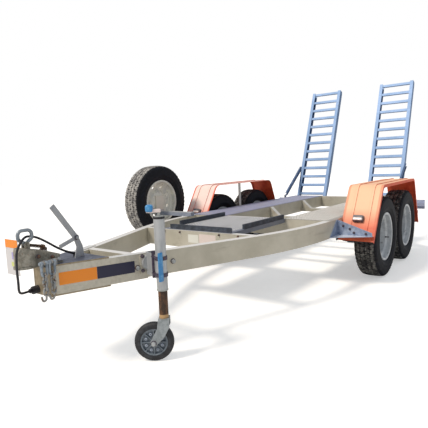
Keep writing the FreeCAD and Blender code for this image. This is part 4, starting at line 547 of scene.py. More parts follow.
finishes = {
    # the near-white over the rails' tops is a painted highlight where the sun falls
    "rail_aluminium": made("mill", "mill_aluminium_rails", "#c6c1b2 #b4af9f #938c7c",
                           [("#efedea", "up", 0.5, 0.9, 0.85)]),
    "tread_plate": made("plate", "tread_plate_aluminium", "#8487a0 #aeaaa1 #7d7a75"),
    "tray_plate": made("plate", "tray_tread_plate", "#767c8a #767c8a #545863"),
    "lozenges": made("plate", "tread_plate_lozenges", "#b9bcd2 #f6f3ec #c6c2b8"),
    # the blue of the ramps is painted shade and sky reflection on the aluminium, and the paler blue over
    # their tops a painted highlight
    "ramp_aluminium": made("mill", "ramp_extrusion_aluminium", "#6c88ae #5a799f #50637f",
                           [("#8da5c6", "up", 0.5, 0.9, 0.85)], grain=("noise", (5, 5, 300), 2),
                           Metallic=0.25),
    "galvanised_steel": made("galvanised", "galvanised_steel", "#9aa0a8 #858c96 #a9adb0"),
    "coupling_metal": made("cast", "weathered_cast_coupling", "#827f74 #aaa598 #7a5a44"),
    "spring_steel": made("chassisPaint", "black_spring_paint", "#1d1d1f #4a4038"),
    "guard_paint": guardEnamel(),
    "rim_paint": made("enamel", "silver_wheel_enamel", "#c9cdd0 #b2b7bb #726f6b", Metallic=0.15),
    "spare_paint": made("enamel", "cream_wheel_enamel", "#dfdccf #c9c8c2 #948e80", Metallic=0.05),
    "drum_iron": made("cast", "brake_drum_iron", "#23211f #3a3531 #4f3a2c"),
    "road_tyre": made("tyre", "tyre_wall_rubber", "#070911 #121827", start=0.45),
    "road_tread": made("tyre", "dusty_tread_rubber", "#2b2b2c #85847f", start=0.42),
    "spare_tread": made("tyre", "sunlit_tread_rubber", "#5c5b5c #a9a6a1", start=0.34),
    "jockey_tyre": made("rubber", "jockey_wheel_rubber", "#1f2125 #393c41"),
    "jockey_plastic": made("plastic", "grey_blue_nylon", "#66717b #858d96"),
    "jockey_blue": made("plastic", "blue_nylon_grips", "#2c7fbb #5da0cf", rough=0.34, **{"Coat Weight": 0.2}),
    "zinc_plate": made("zinc", "zinc_plated_tube", "#a9adaa #959a97 #7d7264"),
    "rusty_tube": made("greased", "greased_rusty_steel", "#3a2a20 #6d4a30 #8d6844",
                       [("#b9976c", "z", 268, 262)]),    # tan over the weld at its foot
    "bumper_rubber": made("rubber", "bumper_rubber", "#2c323c #454c59"),
    "cable_sheath": made("rubber", "cable_sheath_rubber", "#17171d #2c2c36"),
    "plug_plastic": made("plastic", "plug_plastic_black", "#1c1c22 #34343c", rough=0.5),
    "sign_plastic": made("vinyl", "white_sign_board", "#cfcdce #a3a0a2"),
    "lamp_amber": made("plastic", "lamp_housing_plastic", "#55545a #85868c", rough=0.45),
    "lamp_red": made("lens", "red_lens_acrylic", "#b3201a"),
    "amber_lens": made("lens", "amber_lens_acrylic", "#d98a3a"),
    "clear_lens": made("lens", "clear_lens_acrylic", "#f2e4e0"),
    # the near-white over the sleeves' tops is a painted highlight
    "sleeve_steel": made("galvanised", "old_galvanised_sleeves", "#c3beb0 #b2ad9f #c9c4b6",
                         [("#dfe0e0", "up", 0.5, 0.9, 0.8)], Metallic=0.3),
    # the slate blue over the head plate's top is a painted reflection of the sky
    "head_steel": made("galvanised", "galvanised_head_plate", "#9a8c74 #86785f #a2977f",
                       [("#44516d", "up", 0.5, 0.9, 0.8)], Metallic=0.35),
    # the brackets' blue-grey is zinc with a painted sky reflection, and the pale over their tops a painted
    # highlight; tan at their foot, and the far guard's post is paler
    "bracket_steel": made("galvanised", "galvanised_guard_brackets", "#93a0b8 #72809b #a9b4c6",
                          [("#dfe5ee", "up", 0.5, 0.9, 0.8), ("#a8957c", "z", 441.5, 439.5),
                           ("#c9c5bb", "x", -650, -700)]),
    "arm_steel": made("galvanised", "galvanised_lamp_arms", "#a8b2ca #8f99b4 #b6bed0", Metallic=0.2),
    "jockey_steel": made("zinc", "zinc_jockey_tube", "#b5b8ba #a0a4a7 #968b7e"),
    "fork_steel": made("rusted", "zinc_jockey_fork", "#9ba2a6 #868d90 #7a6757", start=0.62),
    "clamp_steel": made("rusted", "stained_clamp_plate", "#5b5560 #45414e #6e4a36", start=0.52),
    "chain_steel": made("rusted", "worn_chain_steel", "#a7a7a3 #82888d #7d6249"),
    "lever_steel": made("zinc", "zinc_hand_lever", "#a7aaad #92959c #8a8577"),
    "handle_steel": made("zinc", "zinc_handle_loop", "#959da3 #77818b #8d8ba8"),
    "shackle_steel": made("rusted", "zinc_shackles", "#9aa5af #76828e #6f6257", start=0.62),
    # the pale over the carrier's tops is a painted highlight; the cream above is its paint
    "carrier_steel": made("galvanised", "galvanised_spare_carrier", "#8b93a3 #747d90 #9aa2b2",
                          [("#c8ccd4", "up", 0.5, 0.9, 0.8), ("#d5d2c6", "z", 600, 640)]),    # cream above
    "crank_steel": made("zinc", "bright_crank_arm", "#e6d9d4 #cfc4c2 #9a8c86"),
    "boss_nylon": made("plastic", "worn_hub_bosses", "#98a3b2 #aab4c2"),
    # the dark slate blue is painted shade, laid on both stays alike
    "stay_steel": made("galvanised", "galvanised_ramp_stays", "#5b7194 #475c7d #6f84a4"),
    "seal_rubber": made("rubber", "tube_seal_rubber", "#15151a #26262c"),
    "saddle_steel": made("rusted", "stained_saddle_plate", "#544c5c #3e3a4a #6e4a36", start=0.56),
    "spring_rust": made("rusted", "rusty_coupling_spring", "#5b4c42 #41362f #7b5136", start=0.46),
    "fixings": made("zinc", "zinc_plated_fixings", "#b9bdbf #8f9496 #6f6252"),
    "orange_vinyl": made("vinyl", "orange_vinyl", "#f08c1e #e8792a"),
    "navy_vinyl": made("vinyl", "navy_vinyl", "#191a3a #24264a"),
    "label_film": made("vinyl", "pale_label_film", "#d9d9cf #c5c4b8"),
    "rose_film": made("vinyl", "rose_label_film", "#d9cbc4 #c9b8b0"),
    "lavender_film": made("vinyl", "lavender_film", "#a49ccb #b9b3d2"),
    "lime_film": made("vinyl", "lime_film", "#c9cf7e #b6bd74"),
}

# pieces whose finish differs from the rest of their material
ownFinish = {"nose_sleeves": "sleeve_steel", "nose_head": "head_steel", "guard_brackets": "bracket_steel",
             "tail_lamp_arms": "arm_steel", "jockey_outer_tube": "jockey_steel", "jockey_fork": "fork_steel",
             "jockey_clamp": "sleeve_steel", "bucket_tray": "tray_plate", "spare_carrier": "carrier_steel",
             "safety_chains": "chain_steel", "chain_lug": "chain_steel", "handbrake": "lever_steel",
             "ramp_stay_left": "stay_steel", "ramp_stay_right": "stay_steel",
             "coupling_handle": "handle_steel"}


def dressNodes():
    # every carried-over node takes the finish of its own material slot, or its own where it has one
    for row in frame["record"]["subparts"]:
        piece = nodes[row["node"]]
        material = finishes[ownFinish.get(row["node"], row["material_slot"])]
        if piece.material_slots:
            for slot in piece.material_slots:
                slot.material = material
        else:
            piece.data.materials.append(material)


# places along the converging rails

rail = {"nose": (72.25, -3137), "turn": 21.7, "sleeve": 4.6}


def onRail(out, along, height, side=1):
    # out from the rail's face and back along it from the nose, on the jockey wheel's side or the far one
    turn = math.radians(rail["turn"])
    x = rail["nose"][0] + out * math.cos(turn) + along * math.sin(turn)
    y = rail["nose"][1] - out * math.sin(turn) + along * math.cos(turn)
    return spot(side * x, y, height)


def railOut(side=1):
    turn = math.radians(rail["turn"])
    return Vector((side * math.cos(turn), -math.sin(turn), 0))


# small fixings, modelled once and copied to every place

bolt = {"washer": 2.8, "chamfer": 1.4, "inset": 0.16, "tip": 7, "tipPlace": 3, "tipWidth": 0.52}


def hexagonBolt(finish, flats=19, head=11, washer=17):
    # hex head with a chamfered top on a flat washer, its seat at the origin and its head towards +z
    thick, radius = bolt["washer"], flats / math.sqrt(3)
    seat = rod(washer, thick, (0, 0, thick / 2000), edge=0.6, corners=28)
    top = rod(radius, head, (0, 0, (thick + head / 2) / 1000), corners=6)
    chamfered(top, 2, radius * bolt["inset"], bolt["chamfer"])
    tip = rod(radius * bolt["tipWidth"], bolt["tip"], (0, 0, (thick + head + bolt["tipPlace"]) / 1000),
              edge=0.9, corners=16)
    return joined([dressed(seat, "clamp_steel"), dressed(top, finish), dressed(tip, finish)], "bolt")


def boltRow(name, places, body="chassis", finish="fixings", **sizes):
    # each place is a point and the way that its head looks
    master = hexagonBolt(finish, **sizes)
    copies = [copyOf(master, f"{name}_{i}", Vector(way).to_track_quat("Z", "Y").to_matrix(), point)
              for i, (point, way) in enumerate(places)]
    bpy.data.objects.remove(master)
    return finished(joined(copies, name), body, None, 30)


# tyres: one carcass with raised rings, and a tread of small turned blocks in four ribs with zigzag grooves

tyre = {"steps": 112, "pitches": 52, "ribs": (-60, -20, 20, 60), "block": (34, 19.5, 9), "zigzag": 17,
        "sink": 0.4, "shoulder": (19, 15, 6), "shoulderPlace": (86, 347.5), "shoulderLean": 52,
        "crownFlat": 40, "crownFall": 0.0031, "spare": (-1100, -1172, 714), "turn": 23}
carcass = ((204, -76), (219, -77), (225, -84), (230, -90), (236, -92.6), (238, -93.8), (241, -93.8),
           (243, -94.6), (262, -100.2), (264, -101.5), (268, -101.7), (270, -100.9), (287, -102.2),
           (312, -100), (328, -95.6), (331, -96), (334, -95), (344, -89.5), (350, -83), (353.6, -76),
           (355.5, -60), (357, -30), (357.4, 0))


def crown(x):
    return trailer["wheelRadius"] - max(0, x - tyre["crownFlat"]) ** 2 * tyre["crownFall"]


def makeTyreMaster():
    body = lathe(list(carcass) + [(r, -x) for r, x in reversed(carcass[:-1])], tyre["steps"])
    pitch = 360 / tyre["pitches"]
    width, depth = tyre["block"][0], tyre["block"][2]
    blocks, shoulders = [], []
    for rib, centre in enumerate(tyre["ribs"]):
        top = crown(abs(centre) + width / 4)
        fall = math.degrees(math.atan(max(0, crown(abs(centre)) - top) * 4 / width))
        for half in (0, 1):
            around = turned(pitch * (half + 0.25 * (rib % 2)) / 2, "X")
            zigzag = tyre["zigzag"] if half == rib % 2 else -tyre["zigzag"]
            turn = around @ turned(math.copysign(fall, centre), "Y") @ turned(zigzag)
            place = around @ Vector((centre, 0, top - depth / 2 - tyre["sink"])) / 1000
            blocks.append(block(tyre["block"], place, turn.to_euler(), 1.1, 1))
    out, up = tyre["shoulderPlace"]
    for side in (-1, 1):
        turn = turned(side * tyre["shoulderLean"], "Y")
        shoulders.append(block(tyre["shoulder"], Vector((side * out, 0, up)) / 1000, turn.to_euler(), 1, 1))
    blocks = aroundAxis(joined(blocks, "tread_blocks"), tyre["pitches"])
    walls = joined([body, aroundAxis(joined(shoulders, "shoulder_blocks"), tyre["pitches"])], "walls")
    return joined([dressed(walls, "road_tyre"), dressed(blocks, "road_tread")], "tyre_master")


def wheelSpot(way, run):
    return spot(way * trailer["wheelOut"], run * trailer["wheelRun"], trailer["wheelRadius"])


def makeTyres():
    master = makeTyreMaster()
    places = [("tyre_" + name, "wheel_" + name, wheelSpot(way, run)) for name, way, run in wheels]
    places.append(("spare_tyre", "chassis", spot(*tyre["spare"])))
    for number, (name, body, place) in enumerate(places):
        copy = copyOf(master, "dressed_" + name, turned(tyre["turn"] * number, "X"), place)
        if name == "spare_tyre":
            copy.material_slots[1].material = finishes["spare_tread"]
        finished(copy, body, None, 38, (name,))
    bpy.data.objects.remove(master)


# wheel fixings: five nuts on studs, a pressed cap over the hub, a rubber valve

wheelTrim = {"nuts": 5, "circle": 56, "seat": -36, "flats": 20, "height": 15, "chamfer": 2,
             "stud": (6.2, 12, 6), "turn": 60, "turnStart": 42,
             "cap": ((0.5, 16.5), (12, 16), (21, 13.5), (26.5, 8.5), (28.5, 3), (31, 2.5), (31, 4.2),
                     (30, 4.4)),
             "valve": ((4.5, 34, 52, 166, 1), (6.2, 12, 36, 171.5, 1.4)), "valveWay": (1, 0, -0.35)}


def makeWheelTrim():
    seat, height, circle = wheelTrim["seat"], wheelTrim["height"], wheelTrim["circle"] / 1000
    ahead = (1, 0, 0)
    radius = wheelTrim["flats"] / math.sqrt(3)
    nut = rod(radius, height, ((seat + height / 2) / 1000, 0, circle), ahead, corners=6)
    chamfered(nut, 0, wheelTrim["chamfer"], wheelTrim["chamfer"])
    radius, length, past = wheelTrim["stud"]
    stud = rod(radius, length, ((seat + height + past) / 1000, 0, circle), ahead, 1.2, 14)
    nuts = aroundAxis(joined([nut, stud], "nuts"), wheelTrim["nuts"])
    cap = facedOut(withModifier(lathe(wheelTrim["cap"], 40, False), "SOLIDIFY", thickness=0.0012, offset=-1))
    trim = joined([nuts, cap], "wheel_trim_master")
    stems = [rod(radius, length, (x / 1000, 0, z / 1000), wheelTrim["valveWay"], edge, 14)
             for radius, length, x, z, edge in wheelTrim["valve"]]
    valve = joined(stems, "valve_master")
    for name, way, run in wheels:
        body, place = "wheel_" + name, wheelSpot(way, run)
        turn = turned(0 if way > 0 else 180) @ turned(wheelTrim["turn"] * run - wheelTrim["turnStart"], "X")
        finished(copyOf(trim, "wheel_nuts_" + name, turn, place), body, "fixings", 30)
        finished(copyOf(valve, "tyre_valve_" + name, turn, place), body, "plug_plastic", 40)
    for master in (trim, valve):
        bpy.data.objects.remove(master)


# raised lozenges of the tread plate, in two crossing directions

tread = {"size": (25, 6.5, 1.7), "cell": 31, "lean": 45, "plate": 578.3, "sink": 0.2, "top": (0.72, 0.35, 1),
         "ends": (1, 0.45, 1), "fields": (("tread_pattern_left", (316, -1055), (718, 1317)),
                                          ("tread_pattern_right", (-718, -1055), (-316, 1317)),
                                          ("tread_pattern_tray", (-300, -1875), (300, -1062)))}


def lozengeField(name, low, high):
    # fills a rectangle of the ground plan with the pattern
    parts = []
    cell, height = tread["cell"], tread["size"][2]
    for shift, lean in ((0, tread["lean"]), (cell / 2, -tread["lean"])):
        bump = block(tread["size"])
        choose(bump, "FACE", lambda centre, normal: normal.z > 0.9)
        bpy.ops.transform.resize(value=tread["top"])
        choose(bump, "EDGE", lambda a, b: abs(a.x - b.x) < 0.0001 and abs(a.z - b.z) < 0.0001)
        bpy.ops.transform.resize(value=tread["ends"])
        closeEdit()
        start = [end + cell / 2 + shift for end in low]
        placed(bump, turned(lean), spot(*start, tread["plate"] + height / 2 - tread["sink"]))
        for axis in (0, 1):
            offset = [0, 0, 0]
            offset[axis] = cell / 1000
            withModifier(bump, "ARRAY", count=int((high[axis] - low[axis] - shift) // cell),
                         use_relative_offset=False, use_constant_offset=True, constant_offset_displace=offset)
        parts.append(bump)
    return finished(joined(parts, name), "chassis", "lozenges", 0)


# blank vinyl panels where the photograph shows stickers, and the plain labels on the front cross-member

panels = {"thick": 0.5, "corner": 3, "cross": -1909.2, "sign": -3230.2, "foot": 476, "top": 543,
          "rail": (("orange_panel", 19, 217, "orange_vinyl"), ("navy_panel", 218, 433, "navy_vinyl")),
          "upright": (("cross_label_pale", "cross", (-62, 486), (38, 548), "label_film"),
                      ("cross_label_rose", "cross", (46, 489), (200, 556), "rose_film"),
                      ("sign_band_orange", "sign", (-218, 673), (-97, 716), "orange_vinyl"),
                      ("sign_block_lavender", "sign", (-160, 612), (-112, 650), "lavender_film"),
                      ("sign_block_lime", "sign", (-168, 574), (-118, 598), "lime_film"))}


def panel(name, corners, out, finish):
    # three corners of a flat rectangle: its middle, size and turn are worked out from them
    low, along, up = corners[0], corners[1] - corners[0], corners[2] - corners[0]
    middle = low + (along + up) / 2 + out * panels["thick"] / 2000
    sideways, upward = along.normalized(), up.normalized()
    turn = Matrix((sideways, upward.cross(sideways), upward)).transposed()
    piece = block((along.length * 1000, panels["thick"], up.length * 1000))
    choose(piece, "EDGE", lambda a, b: abs(a.x - b.x) < 1e-6 and abs(a.z - b.z) < 1e-6)
    bpy.ops.mesh.bevel(offset=panels["corner"] / 1000, segments=3)
    closeEdit()
    return finished(joined([placed(piece, turn, middle)], name), "chassis", finish, 30)


def makePanels():
    face, foot, top = rail["sleeve"] + 0.1, panels["foot"], panels["top"]
    for name, near, far, finish in panels["rail"]:
        corners = [onRail(face, near, foot), onRail(face, far, foot), onRail(face, near, top)]
        panel(name, corners, railOut(), finish)
    for name, wall, low, high, finish in panels["upright"]:
        corners = [spot(x, panels[wall], z) for x, z in (low, (high[0], low[1]), (low[0], high[1]))]
        panel(name, corners, Vector((0, -1, 0)), finish)


# places of the bolts: along the rail and up it, or on the ground plan

bolts = {"sleeve": ((4.6, 449, 500), (0.1, 676, 504)), "clampFace": 14.8, "clamp": (477, 561),
         "clampHeights": (481, 566), "cross": ((-141, 560), (232, 562), (-300, 560), (396, 562)),
         "bracket": ((836, 496), (869, 466), (966, 462), (780, 520)), "bracketFace": -902,
         "head": (43, (-3168, -3088), 596), "top": (19, -3146, 660), "topWay": (0, 0.36, 0.93),
         "side": (48.1, ((-3205, 642), (-3128, 626))), "brake": (-2968, 700)}


def makeBolts():
    ahead = (0, -1, 0)
    places = [(onRail(*place, side), railOut(side)) for side in (1, -1) for place in bolts["sleeve"]]
    boltRow("sleeve_bolts", places, flats=22, head=13, washer=16)
    places = [(onRail(bolts["clampFace"], along, height), railOut())
              for along in bolts["clamp"] for height in bolts["clampHeights"]]
    boltRow("clamp_plate_bolts", places, finish="clamp_steel", flats=15, head=8, washer=11)
    places = [(spot(x, panels["cross"], z), ahead) for x, z in bolts["cross"]]
    boltRow("cross_bolts", places, finish="spring_rust", flats=10, head=6, washer=8)
    places = [(spot(side * x, bolts["bracketFace"], z), ahead)
              for side in (1, -1) for x, z in bolts["bracket"]]
    boltRow("bracket_bolts", places, finish="clamp_steel", flats=13, head=7, washer=11)
    out, rows, height = bolts["head"]
    places = [(spot(x, y, height), (0, 0, 1)) for x in (-out, out) for y in rows]
    boltRow("coupling_bolts", places, flats=19, head=11, washer=15)
    out, y, height = bolts["top"]
    places = [(spot(x, y, height), bolts["topWay"]) for x in (-out, out)]
    out, rows = bolts["side"]
    places += [(spot(side * out, y, z), (side, 0, 0)) for side in (1, -1) for y, z in rows]
    boltRow("coupling_top_bolts", places, finish="spring_rust", flats=15, head=9, washer=11)
    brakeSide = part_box("handbrake")[1][0] * 1000
    boltRow("handbrake_pivot", [(spot(brakeSide, *bolts["brake"]), (1, 0, 0))], flats=16, head=9, washer=13)
    axle, hub = Vector(jockey["axle"]), spot(*jockey["hub"])
    places = [(hub + axle * way * jockey["forkHalf"] / 1000, axle * way) for way in (1, -1)]
    boltRow("jockey_axle_nuts", places, body="jockey_castor", flats=22, head=11, washer=16)


# the stays' outward channels

stay = {"end": 12.5, "start": 16, "clear": 40, "width": 46, "depth": 21, "wall": 3, "edge": 0.8}


def makeStayChannels():
    # a web over each flat bar and two flanges that face outward, short of the pin and the lug
    low, high = (Vector(corner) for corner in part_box("ramp_stay_left"))
    end, wall, depth = stay["end"] / 1000, stay["wall"], stay["depth"]
    foot = Vector((low.x, low.y + end, low.z + end))
    pivot = Vector((low.x, high.y - end, high.z - end))
    way = foot - pivot
    length = way.length * 1000 - stay["start"] - stay["clear"]
    parts = [block((wall, length, stay["width"]), edge=stay["edge"])]
    for side in (-1, 1):
        height = side * (stay["width"] - wall) / 2000
        parts.append(block((depth, length, wall), (depth / 2000, 0, height), edge=stay["edge"]))
    middle = pivot + way.normalized() * (stay["start"] + length / 2) / 1000
    turn = turned(math.degrees(math.atan2(-way.z, -way.y)), "X")
    left = placed(joined(parts, "stay_channel_left"), turn, middle)
    right = mirrored(left, "stay_channel_right")
    finished(left, "stay_left", "stay_steel", 30)
    finished(right, "stay_right", "stay_steel", 30)


# jockey wheel: moulded grip and lever stand for the plain ones, rubber tyre with a rounded tread

jockey = {"offset": 180, "foot": -2655, "hub": (383.26, -2757.5, 110), "axle": (0.599, -0.8007, 0),
          "forkHalf": 34.1, "grip": (391, -2750, 848), "gripSize": (44, 40, 40), "gripTurn": -53,
          "leverRadius": 7, "leverSpread": 2.5,
          "lever": ((215, 612), (218, 604), (221, 580), (221, 500), (218, 470), (215, 458)), "leverShift": 20,
          "leverMiddle": (215, 535), "armSize": (78, 24, 19), "armReach": 27, "armTurn": 216.8, "armDrop": 6,
          "tread": ((76.6, 21.5), (80, 22.6), (90, 22.9), (98, 21.6), (104.5, 17.6), (108.6, 11), (110, 4)),
          "boss": ((3.4, 6), (3.4, 17), (7.5, 16.5), (8.2, 6)), "bossPlace": (0, 0.0184, 0.0444), "bosses": 8,
          "saddle": (8, 66, 150), "saddlePlace": (140, -4, 538), "collar": (34.5, 4, 22),
          "collars": (486, 578), "clampRods": ((38, 5, 50, 12), (31, 9.5, 9, 6)), "rodShift": 28,
          "rings": (("jockey_tube_wiper", 31.8, 5.6, 402, 8, "zinc_plate"),
                    ("jockey_tube_seal", 31.2, 4, 797, 12, "seal_rubber"))}


def tubeAlong():
    # how far back along the rail the jockey tube stands
    return (jockey["foot"] - rail["nose"][1]) / math.cos(math.radians(rail["turn"]))


def makeJockeyHandles():
    grip = block(jockey["gripSize"], edge=11, segments=4)
    placed(grip, turned(jockey["gripTurn"]), spot(*jockey["grip"]))
    along = tubeAlong() - jockey["leverShift"]
    bar = bentBar([onRail(out, along, z) for out, z in jockey["lever"]], jockey["leverRadius"])
    out, height = jockey["leverMiddle"]
    openEdit(bar)
    bpy.ops.transform.resize(value=(1, jockey["leverSpread"], 1), orient_type="GLOBAL",
                             center_override=onRail(out, along, height))
    closeEdit()
    finished(joined([grip, bar], "blue_grip_and_lever"), "jockey_leg", "jockey_blue", 50,
             ("jockey_handles",))


def makeCrankArm():
    # thick arm over the crank's thin one, from the spindle to under the grip
    arm = block(jockey["armSize"], (jockey["armReach"] / 1000, 0, 0), edge=4, segments=3)
    place = onRail(jockey["offset"], tubeAlong(), 0)
    place.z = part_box("jockey_crank")[1][2] - jockey["armDrop"] / 1000
    arm = joined([placed(arm, turned(jockey["armTurn"]), place)], "jockey_crank_arm")
    finished(arm, "jockey_leg", "crank_steel", 40)


def collar(radius, wall, height, place, name="collar"):
    # an open ring standing on end, its rims softened
    half = height / 2
    ring = lathe([(radius - wall, -half), (radius - wall, half), (radius, half), (radius, -half)], 44)
    ring = joined([placed(ring, turned(90, "Y"))], name)
    return placed(softEdges(ring, wall * 0.3), None, place)


def makeJockeyClamps():
    # stained saddle plate before the tube, half collars round it, and their bolts
    along = tubeAlong()
    out, shift, middle = jockey["saddlePlace"]
    saddle = block(jockey["saddle"], edge=1.5)
    parts = [placed(saddle, turned(-rail["turn"]), onRail(out, along + shift, middle))]
    for height in jockey["collars"]:
        parts.append(collar(*jockey["collar"], onRail(jockey["offset"], along, height)))
        for shift in (-jockey["rodShift"], jockey["rodShift"]):
            for before, radius, length, corners in jockey["clampRods"]:
                place = onRail(jockey["offset"] - before, along + shift, height)
                parts.append(rod(radius, length, place, railOut(), 1, corners))
    return finished(joined(parts, "jockey_saddle"), "jockey_leg", "saddle_steel")


def makeJockeyWheel():
    # rounded solid tyre, and moulded bosses round the hub on both faces
    turn = turned(math.degrees(math.atan2(jockey["axle"][1], jockey["axle"][0])))
    place = spot(*jockey["hub"])
    ring = lathe(list(jockey["tread"]) + [(r, -x) for r, x in reversed(jockey["tread"])], 96)
    finished(joined([placed(ring, turn, place)], "jockey_tyre_rounded"), "jockey_wheel",
             "jockey_tyre", 50, ("jockey_tyre",))
    bosses = []
    for way in (1, -1):
        boss = placed(lathe([(r, way * x) for r, x in jockey["boss"]], 20), None, jockey["bossPlace"])
        bosses.append(aroundAxis(boss, jockey["bosses"]))
    finished(joined([placed(joined(bosses, "bosses"), turn, place)], "jockey_hub_bosses"), "jockey_wheel",
             "boss_nylon")


def makeJockeyRings():
    # pale wiper at the mouth of the tube, black seal round its top
    for name, radius, wall, height, tall, finish in jockey["rings"]:
        ring = collar(radius, wall, tall, onRail(jockey["offset"], tubeAlong(), height), name)
        finished(ring, "jockey_leg", finish, 40)


# coupling dress: the release spring on its rod, lying along the head

coupling = {"front": (0, -3222, 699), "rear": (0, -3152, 681), "coil": 8, "wire": 1.9, "turns": 9, "sides": 8,
            "pin": 4, "pinPast": 30, "seat": (26, 6, 30), "seatPast": 0.006, "seatDrop": (0, 0, 0.004),
            "nut": (9, 8), "nutPast": 0.013}


def makeCouplingSpring():
    front, rear = spot(*coupling["front"]), spot(*coupling["rear"])
    way = (rear - front).normalized()
    side = Vector((1, 0, 0))
    up = side.cross(way)
    count = coupling["turns"] * coupling["sides"]
    line = []
    for i in range(count + 1):
        angle = math.tau * i / coupling["sides"]
        out = (side * math.cos(angle) + up * math.sin(angle)) * coupling["coil"] / 1000
        line.append(front.lerp(rear, i / count) + out)
    length = (rear - front).length * 1000 + coupling["pinPast"]
    seatPlace = rear + way * coupling["seatPast"] - Vector(coupling["seatDrop"])
    parts = [bentBar(line, coupling["wire"]), rod(coupling["pin"], length, (front + rear) / 2, way, 1, 16),
             block(coupling["seat"], seatPlace, edge=1.5),
             rod(*coupling["nut"], rear + way * coupling["nutPast"], way, 1, 6)]
    return finished(joined(parts, "coupling_spring"), "chassis", "spring_rust", 40)


# safety chains: round-bar links and bow shackles over the plain ones

chain = {"places": (-3206.5, -3162.5), "top": 612, "bar": 5.2, "length": 46.4, "width": 32.4, "pitch": 25.46,
         "first": 543.7, "links": 4, "bowRadius": 6.4,
         "bow": ((-14.5, 0), (-14.5, -24), (-14.5, -62), (0, -62), (14.5, -62), (14.5, -24), (14.5, 0)),
         # a shackle's eyes, pin and nut: radius, length, place across, edge and corners
         "shackle": ((10.5, 11, -14.5, 1.5, 24), (10.5, 11, 14.5, 1.5, 24), (5.8, 46, 0, 1, 20),
                     (8.5, 7, -23.5, 1, 6)),
         "hook": ((0, 0), (0, -14), (-2, -24), (-12, -29), (-21, -25), (-25, -10), (-26, -2))}


def chainLink(place, facing):
    # a torus drawn out into a long link, standing on end
    alone()
    bpy.ops.mesh.primitive_torus_add(major_segments=24, minor_segments=12, minor_radius=chain["bar"] / 1000,
                                     major_radius=(chain["width"] / 2 - chain["bar"]) / 1000,
                                     rotation=(math.radians(90), 0, 0))
    piece = settle(bpy.context.object)
    stretch = (chain["length"] - chain["width"]) / 2000
    for way in (1, -1):
        choose(piece, "FACE", lambda centre, normal, way=way: centre.z * way > 0.0002)
        bpy.ops.transform.translate(value=(0, 0, way * stretch))
        closeEdit()
    return placed(piece, turned(90 if facing else 0), place)


def makeChains():
    x = sum(corner[0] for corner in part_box("safety_chains")) * 500
    top, count, pitch = chain["top"], chain["links"], chain["pitch"]
    foot = chain["first"] - (count - 1) * pitch - chain["length"] / 2 + chain["bar"]
    shackles, links = [], []
    for y in chain["places"]:
        shackles.append(bentBar([spot(x, y + out, top + z) for out, z in chain["bow"]], chain["bowRadius"]))
        for radius, length, out, edge, corners in chain["shackle"]:
            shackles.append(rod(radius, length, spot(x, y + out, top), (0, 1, 0), edge, corners))
        for i in range(count):
            links.append(chainLink(spot(x, y, chain["first"] - i * pitch), i % 2 == 1 or i == count - 1))
        links.append(bentBar([spot(x, y + out, foot + z) for out, z in chain["hook"]], chain["bar"]))
    parts = [dressed(joined(shackles, "shackles"), "shackle_steel"),
             dressed(joined(links, "links"), "chain_steel")]
    return finished(joined(parts, "round_bar_chains"), "chassis", None, 45,
                    ("safety_chains",))


# lamps: the markers stand on the guards' sloping fronts, whose foot and bend the rail and heights give

marker = {"side": 827.3, "width": 84, "height": 56, "depth": 30, "foot": 540, "rail": 888, "railFoot": 397,
          "bend": 600, "top": 842, "screw": (2.6, 3), "screws": ((-31, -2, 10.5), (31, -2, 10.5)),
          # size, place, edge and segments of the rim and cap, and of the lens
          "bezel": (((78, 46, 4), (0, 0, 1.5), 1.8, 2), ((76, 23, 12), (0, 11, 4), 4, 3)),
          "lens": (((74, 24, 14), (0, -12.5, 6), 5, 3),)}


def lampBlocks(rows):
    return [block(size, Vector(place) / 1000, edge=edge, segments=segments)
            for size, place, edge, segments in rows]


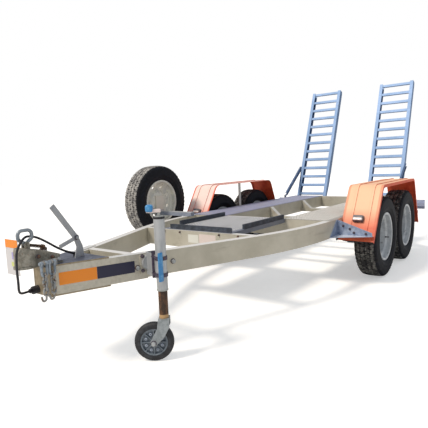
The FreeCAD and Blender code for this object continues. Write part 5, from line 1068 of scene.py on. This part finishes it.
def makeMarkerLamps():
    # a bezel, a clear lens and a dark cap on each lamp body, square to the guard's sloping front
    rise, run = marker["top"] - marker["railFoot"], marker["rail"] - marker["bend"]
    up = Vector((0, run, rise)).normalized()
    out = Vector((1, 0, 0)).cross(up)
    turn = Matrix((Vector((1, 0, 0)), up, out)).transposed()
    y = -marker["rail"] + run * (marker["foot"] - marker["railFoot"]) / rise
    for side, word in sides:
        foot = spot(side * (marker["side"] + marker["width"] / 2), y, marker["foot"])
        middle = foot + up * marker["height"] / 2000 + out * marker["depth"] / 1000
        parts = lampBlocks(marker["bezel"])
        for place in marker["screws"]:
            parts.append(rod(*marker["screw"], Vector(place) / 1000, edge=0.6, corners=14))
        bezel = joined([placed(joined(parts, "bezel"), turn, middle)], "marker_lamp_bezel_" + word)
        finished(bezel, "chassis", "lamp_amber")
        lens = joined([placed(*lampBlocks(marker["lens"]), turn, middle)], "marker_lamp_lens_" + word)
        finished(lens, "chassis", "clear_lens")


tail = {"side": 944, "face": 1360, "width": 76, "depth": 14, "edge": 4,
        "bands": (("stop", 440, 476, "lamp_red"), ("turn", 478, 506, "amber_lens"),
                  ("reverse", 508, 536, "clear_lens"))}


def makeTailLamps():
    for side, word in sides:
        for name, low, high, finish in tail["bands"]:
            place = spot(side * tail["side"], tail["face"], (low + high) / 2)
            lens = block((tail["width"], tail["depth"], high - low), place, edge=tail["edge"], segments=3)
            finished(joined([lens], f"tail_{name}_lens_{word}"), "chassis", finish)


# ribs round the plug

ribs = {"count": 5, "first": 0.02, "pitch": 0.0075,
        "profile": ((19.6, -2.2), (19.6, 2.2), (21.2, 1.6), (21.2, -1.6))}


def makePlugRibs():
    low, high = (Vector(corner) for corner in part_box("cable_plug"))
    middle = (low + high) / 2
    rings = []
    for i in range(ribs["count"]):
        place = (middle.x, low.y + ribs["first"] + ribs["pitch"] * i, middle.z)
        rings.append(placed(lathe(ribs["profile"], 36), turned(90), place))
    return finished(joined(rings, "plug_ribs"), "chassis", "plug_plastic", 40)


print("setting up the camera, light and floor")
setUpCamera()
setUpLight()
setUpFloor()
print("dressing the frame")
dressNodes()
makeCable()
print("making the tyres and wheel fixings")
makeTyres()
makeWheelTrim()
print("making the tread plate pattern")
for field in tread["fields"]:
    lozengeField(*field)
print("making the panels, bolts and fittings")
makePanels()
makeBolts()
makeStayChannels()
makeJockeyHandles()
makeCrankArm()
makeJockeyClamps()
makeJockeyWheel()
makeJockeyRings()
makeCouplingSpring()
makeChains()
makeMarkerLamps()
makeTailLamps()
makePlugRibs()
